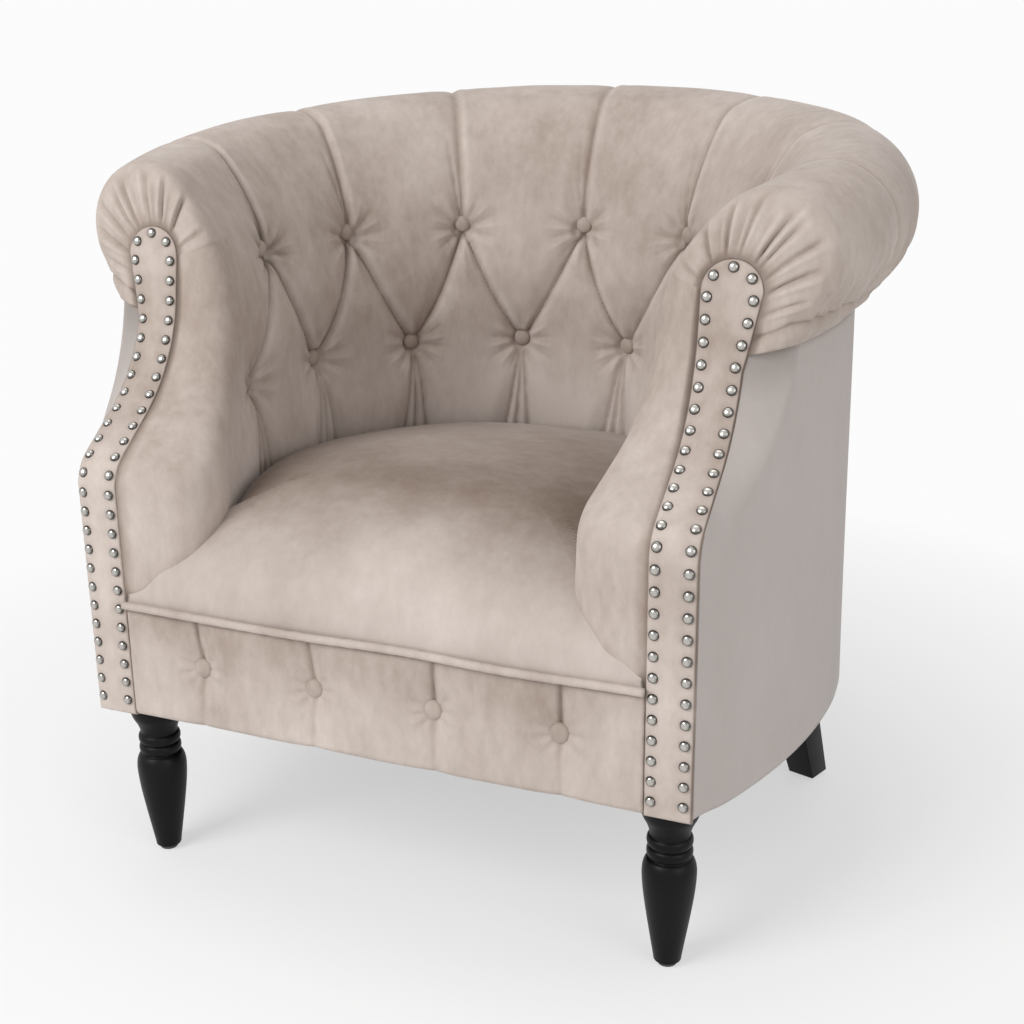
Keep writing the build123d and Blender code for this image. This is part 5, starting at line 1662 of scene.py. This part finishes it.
def build_floor(colour):
    """A wide pale floor that keeps the chair's shadow and fades to white far away."""
    material, tree, place = new_material("studio floor")
    paper = noise(tree, place, 2.0, 3.0, 0.5)
    base = blend_colours(tree, paper, opaque(colour), opaque(colour, 1.02))
    matt = {"Base Color": base, "Roughness": 0.85, "Specular IOR Level": 0.1}
    painted = add_node(tree, "ShaderNodeBsdfPrincipled", {}, matt)
    glow = {"Color": (1, 1, 1, 1), "Strength": WHITE_GROUND}
    white = add_node(tree, "ShaderNodeEmission", {}, glow)
    length = {"operation": "LENGTH"}
    away = add_node(tree, "ShaderNodeVectorMath", length, {0: place}, output="Value")
    far = away * FLOOR_WHITE_PER_METRE + FLOOR_WHITE_AT_ORIGIN
    shown = far.between(FLOOR_WHITE_LEAST, 1.0) * seen_directly(tree)
    surface = add_node(tree, "ShaderNodeMixShader", {}, {0: shown, 1: painted, 2: white})
    add_node(tree, "ShaderNodeOutputMaterial", {}, {"Surface": surface})
    mesh = bpy.data.meshes.new("floor")
    corners = [(x * FLOOR_REACH, y * FLOOR_REACH, 0) for x, y in ((-1, -1), (1, -1), (1, 1), (-1, 1))]
    mesh.from_pydata(corners, [], [(0, 1, 2, 3)])
    mesh.materials.append(material)
    floor = bpy.data.objects.new("floor", mesh)
    bpy.context.scene.collection.objects.link(floor)


def build_world():
    """Even studio light all round, with a white ground for what the camera and the metal see."""
    world = bpy.data.worlds.new("studio")
    world.use_nodes = True
    tree = world.node_tree
    tree.nodes.clear()
    strength = ROOM_LIGHT + seen_directly(tree) * (WHITE_GROUND - ROOM_LIGHT)
    light = {"Color": (1, 1, 1, 1), "Strength": strength}
    background = add_node(tree, "ShaderNodeBackground", {}, light)
    add_node(tree, "ShaderNodeOutputWorld", {}, {"Surface": background})
    bpy.context.scene.world = world


def build_camera():
    """The camera at the photograph's place, with its slight roll."""
    back = (CAMERA_PLACE - CAMERA_TARGET).normalized()
    right = Vector((0, 0, 1)).cross(back).normalized()
    up = back.cross(right)
    turned_right = right * np.cos(CAMERA_ROLL) + up * np.sin(CAMERA_ROLL)
    turned_up = up * np.cos(CAMERA_ROLL) - right * np.sin(CAMERA_ROLL)
    turn = Matrix((turned_right, turned_up, back)).transposed().to_4x4()
    lens = bpy.data.cameras.new("photograph")
    lens.lens = CAMERA_LENS
    lens.sensor_width = SENSOR_WIDTH
    camera = bpy.data.objects.new("photograph", lens)
    camera.matrix_world = Matrix.Translation(CAMERA_PLACE) @ turn
    bpy.context.scene.collection.objects.link(camera)
    bpy.context.scene.camera = camera


class CHAIR_OT_stage(bpy.types.Operator):
    """Set up the floor, lamps, world and camera"""

    bl_idname = "chair.stage"
    bl_label = "Studio"

    def execute(self, context):
        context.scene.view_settings.view_transform = "Standard"
        build_floor(context.scene.chair_colours.floor)
        build_world()
        for name, lamp in LAMPS.items():
            add_lamp(name, *lamp)
        build_camera()
        return {"FINISHED"}


class CHAIR_PT_panel(bpy.types.Panel):
    """Chair pieces, sizes and colours in the 3D view's sidebar"""

    bl_label = "Club Chair"
    bl_idname = "CHAIR_PT_panel"
    bl_space_type = "VIEW_3D"
    bl_region_type = "UI"
    bl_category = "Chair"

    def draw(self, context):
        for operator in OPERATORS:
            self.layout.operator(operator.bl_idname)
        for group in (context.scene.chair_sizes, context.scene.chair_colours):
            box = self.layout.box()
            for name in group.__annotations__:
                box.prop(group, name)


OPERATORS = (
    CHAIR_OT_back_pad,
    CHAIR_OT_back_buttons,
    CHAIR_OT_seat,
    CHAIR_OT_apron,
    CHAIR_OT_facings,
    CHAIR_OT_outside,
    CHAIR_OT_legs,
    CHAIR_OT_underside,
    CHAIR_OT_stage,
)
CLASSES = (ChairSizes, ChairColours, *OPERATORS, CHAIR_PT_panel)


def register():
    """Make the operators, properties and panel known to Blender."""
    for item in CLASSES:
        bpy.utils.register_class(item)
    bpy.types.Scene.chair_sizes = bpy.props.PointerProperty(type=ChairSizes)
    bpy.types.Scene.chair_colours = bpy.props.PointerProperty(type=ChairColours)


def unregister():
    """Take the operators, properties and panel out of Blender."""
    del bpy.types.Scene.chair_sizes
    del bpy.types.Scene.chair_colours
    for item in reversed(CLASSES):
        bpy.utils.unregister_class(item)


def main():
    """Build every piece and the stage."""
    register()
    bpy.ops.chair.back_pad()
    bpy.ops.chair.back_buttons()
    bpy.ops.chair.seat()
    bpy.ops.chair.apron()
    bpy.ops.chair.facings()
    bpy.ops.chair.outside()
    bpy.ops.chair.legs()
    bpy.ops.chair.underside()
    bpy.ops.chair.stage()


if __name__ == "__main__":
    main()
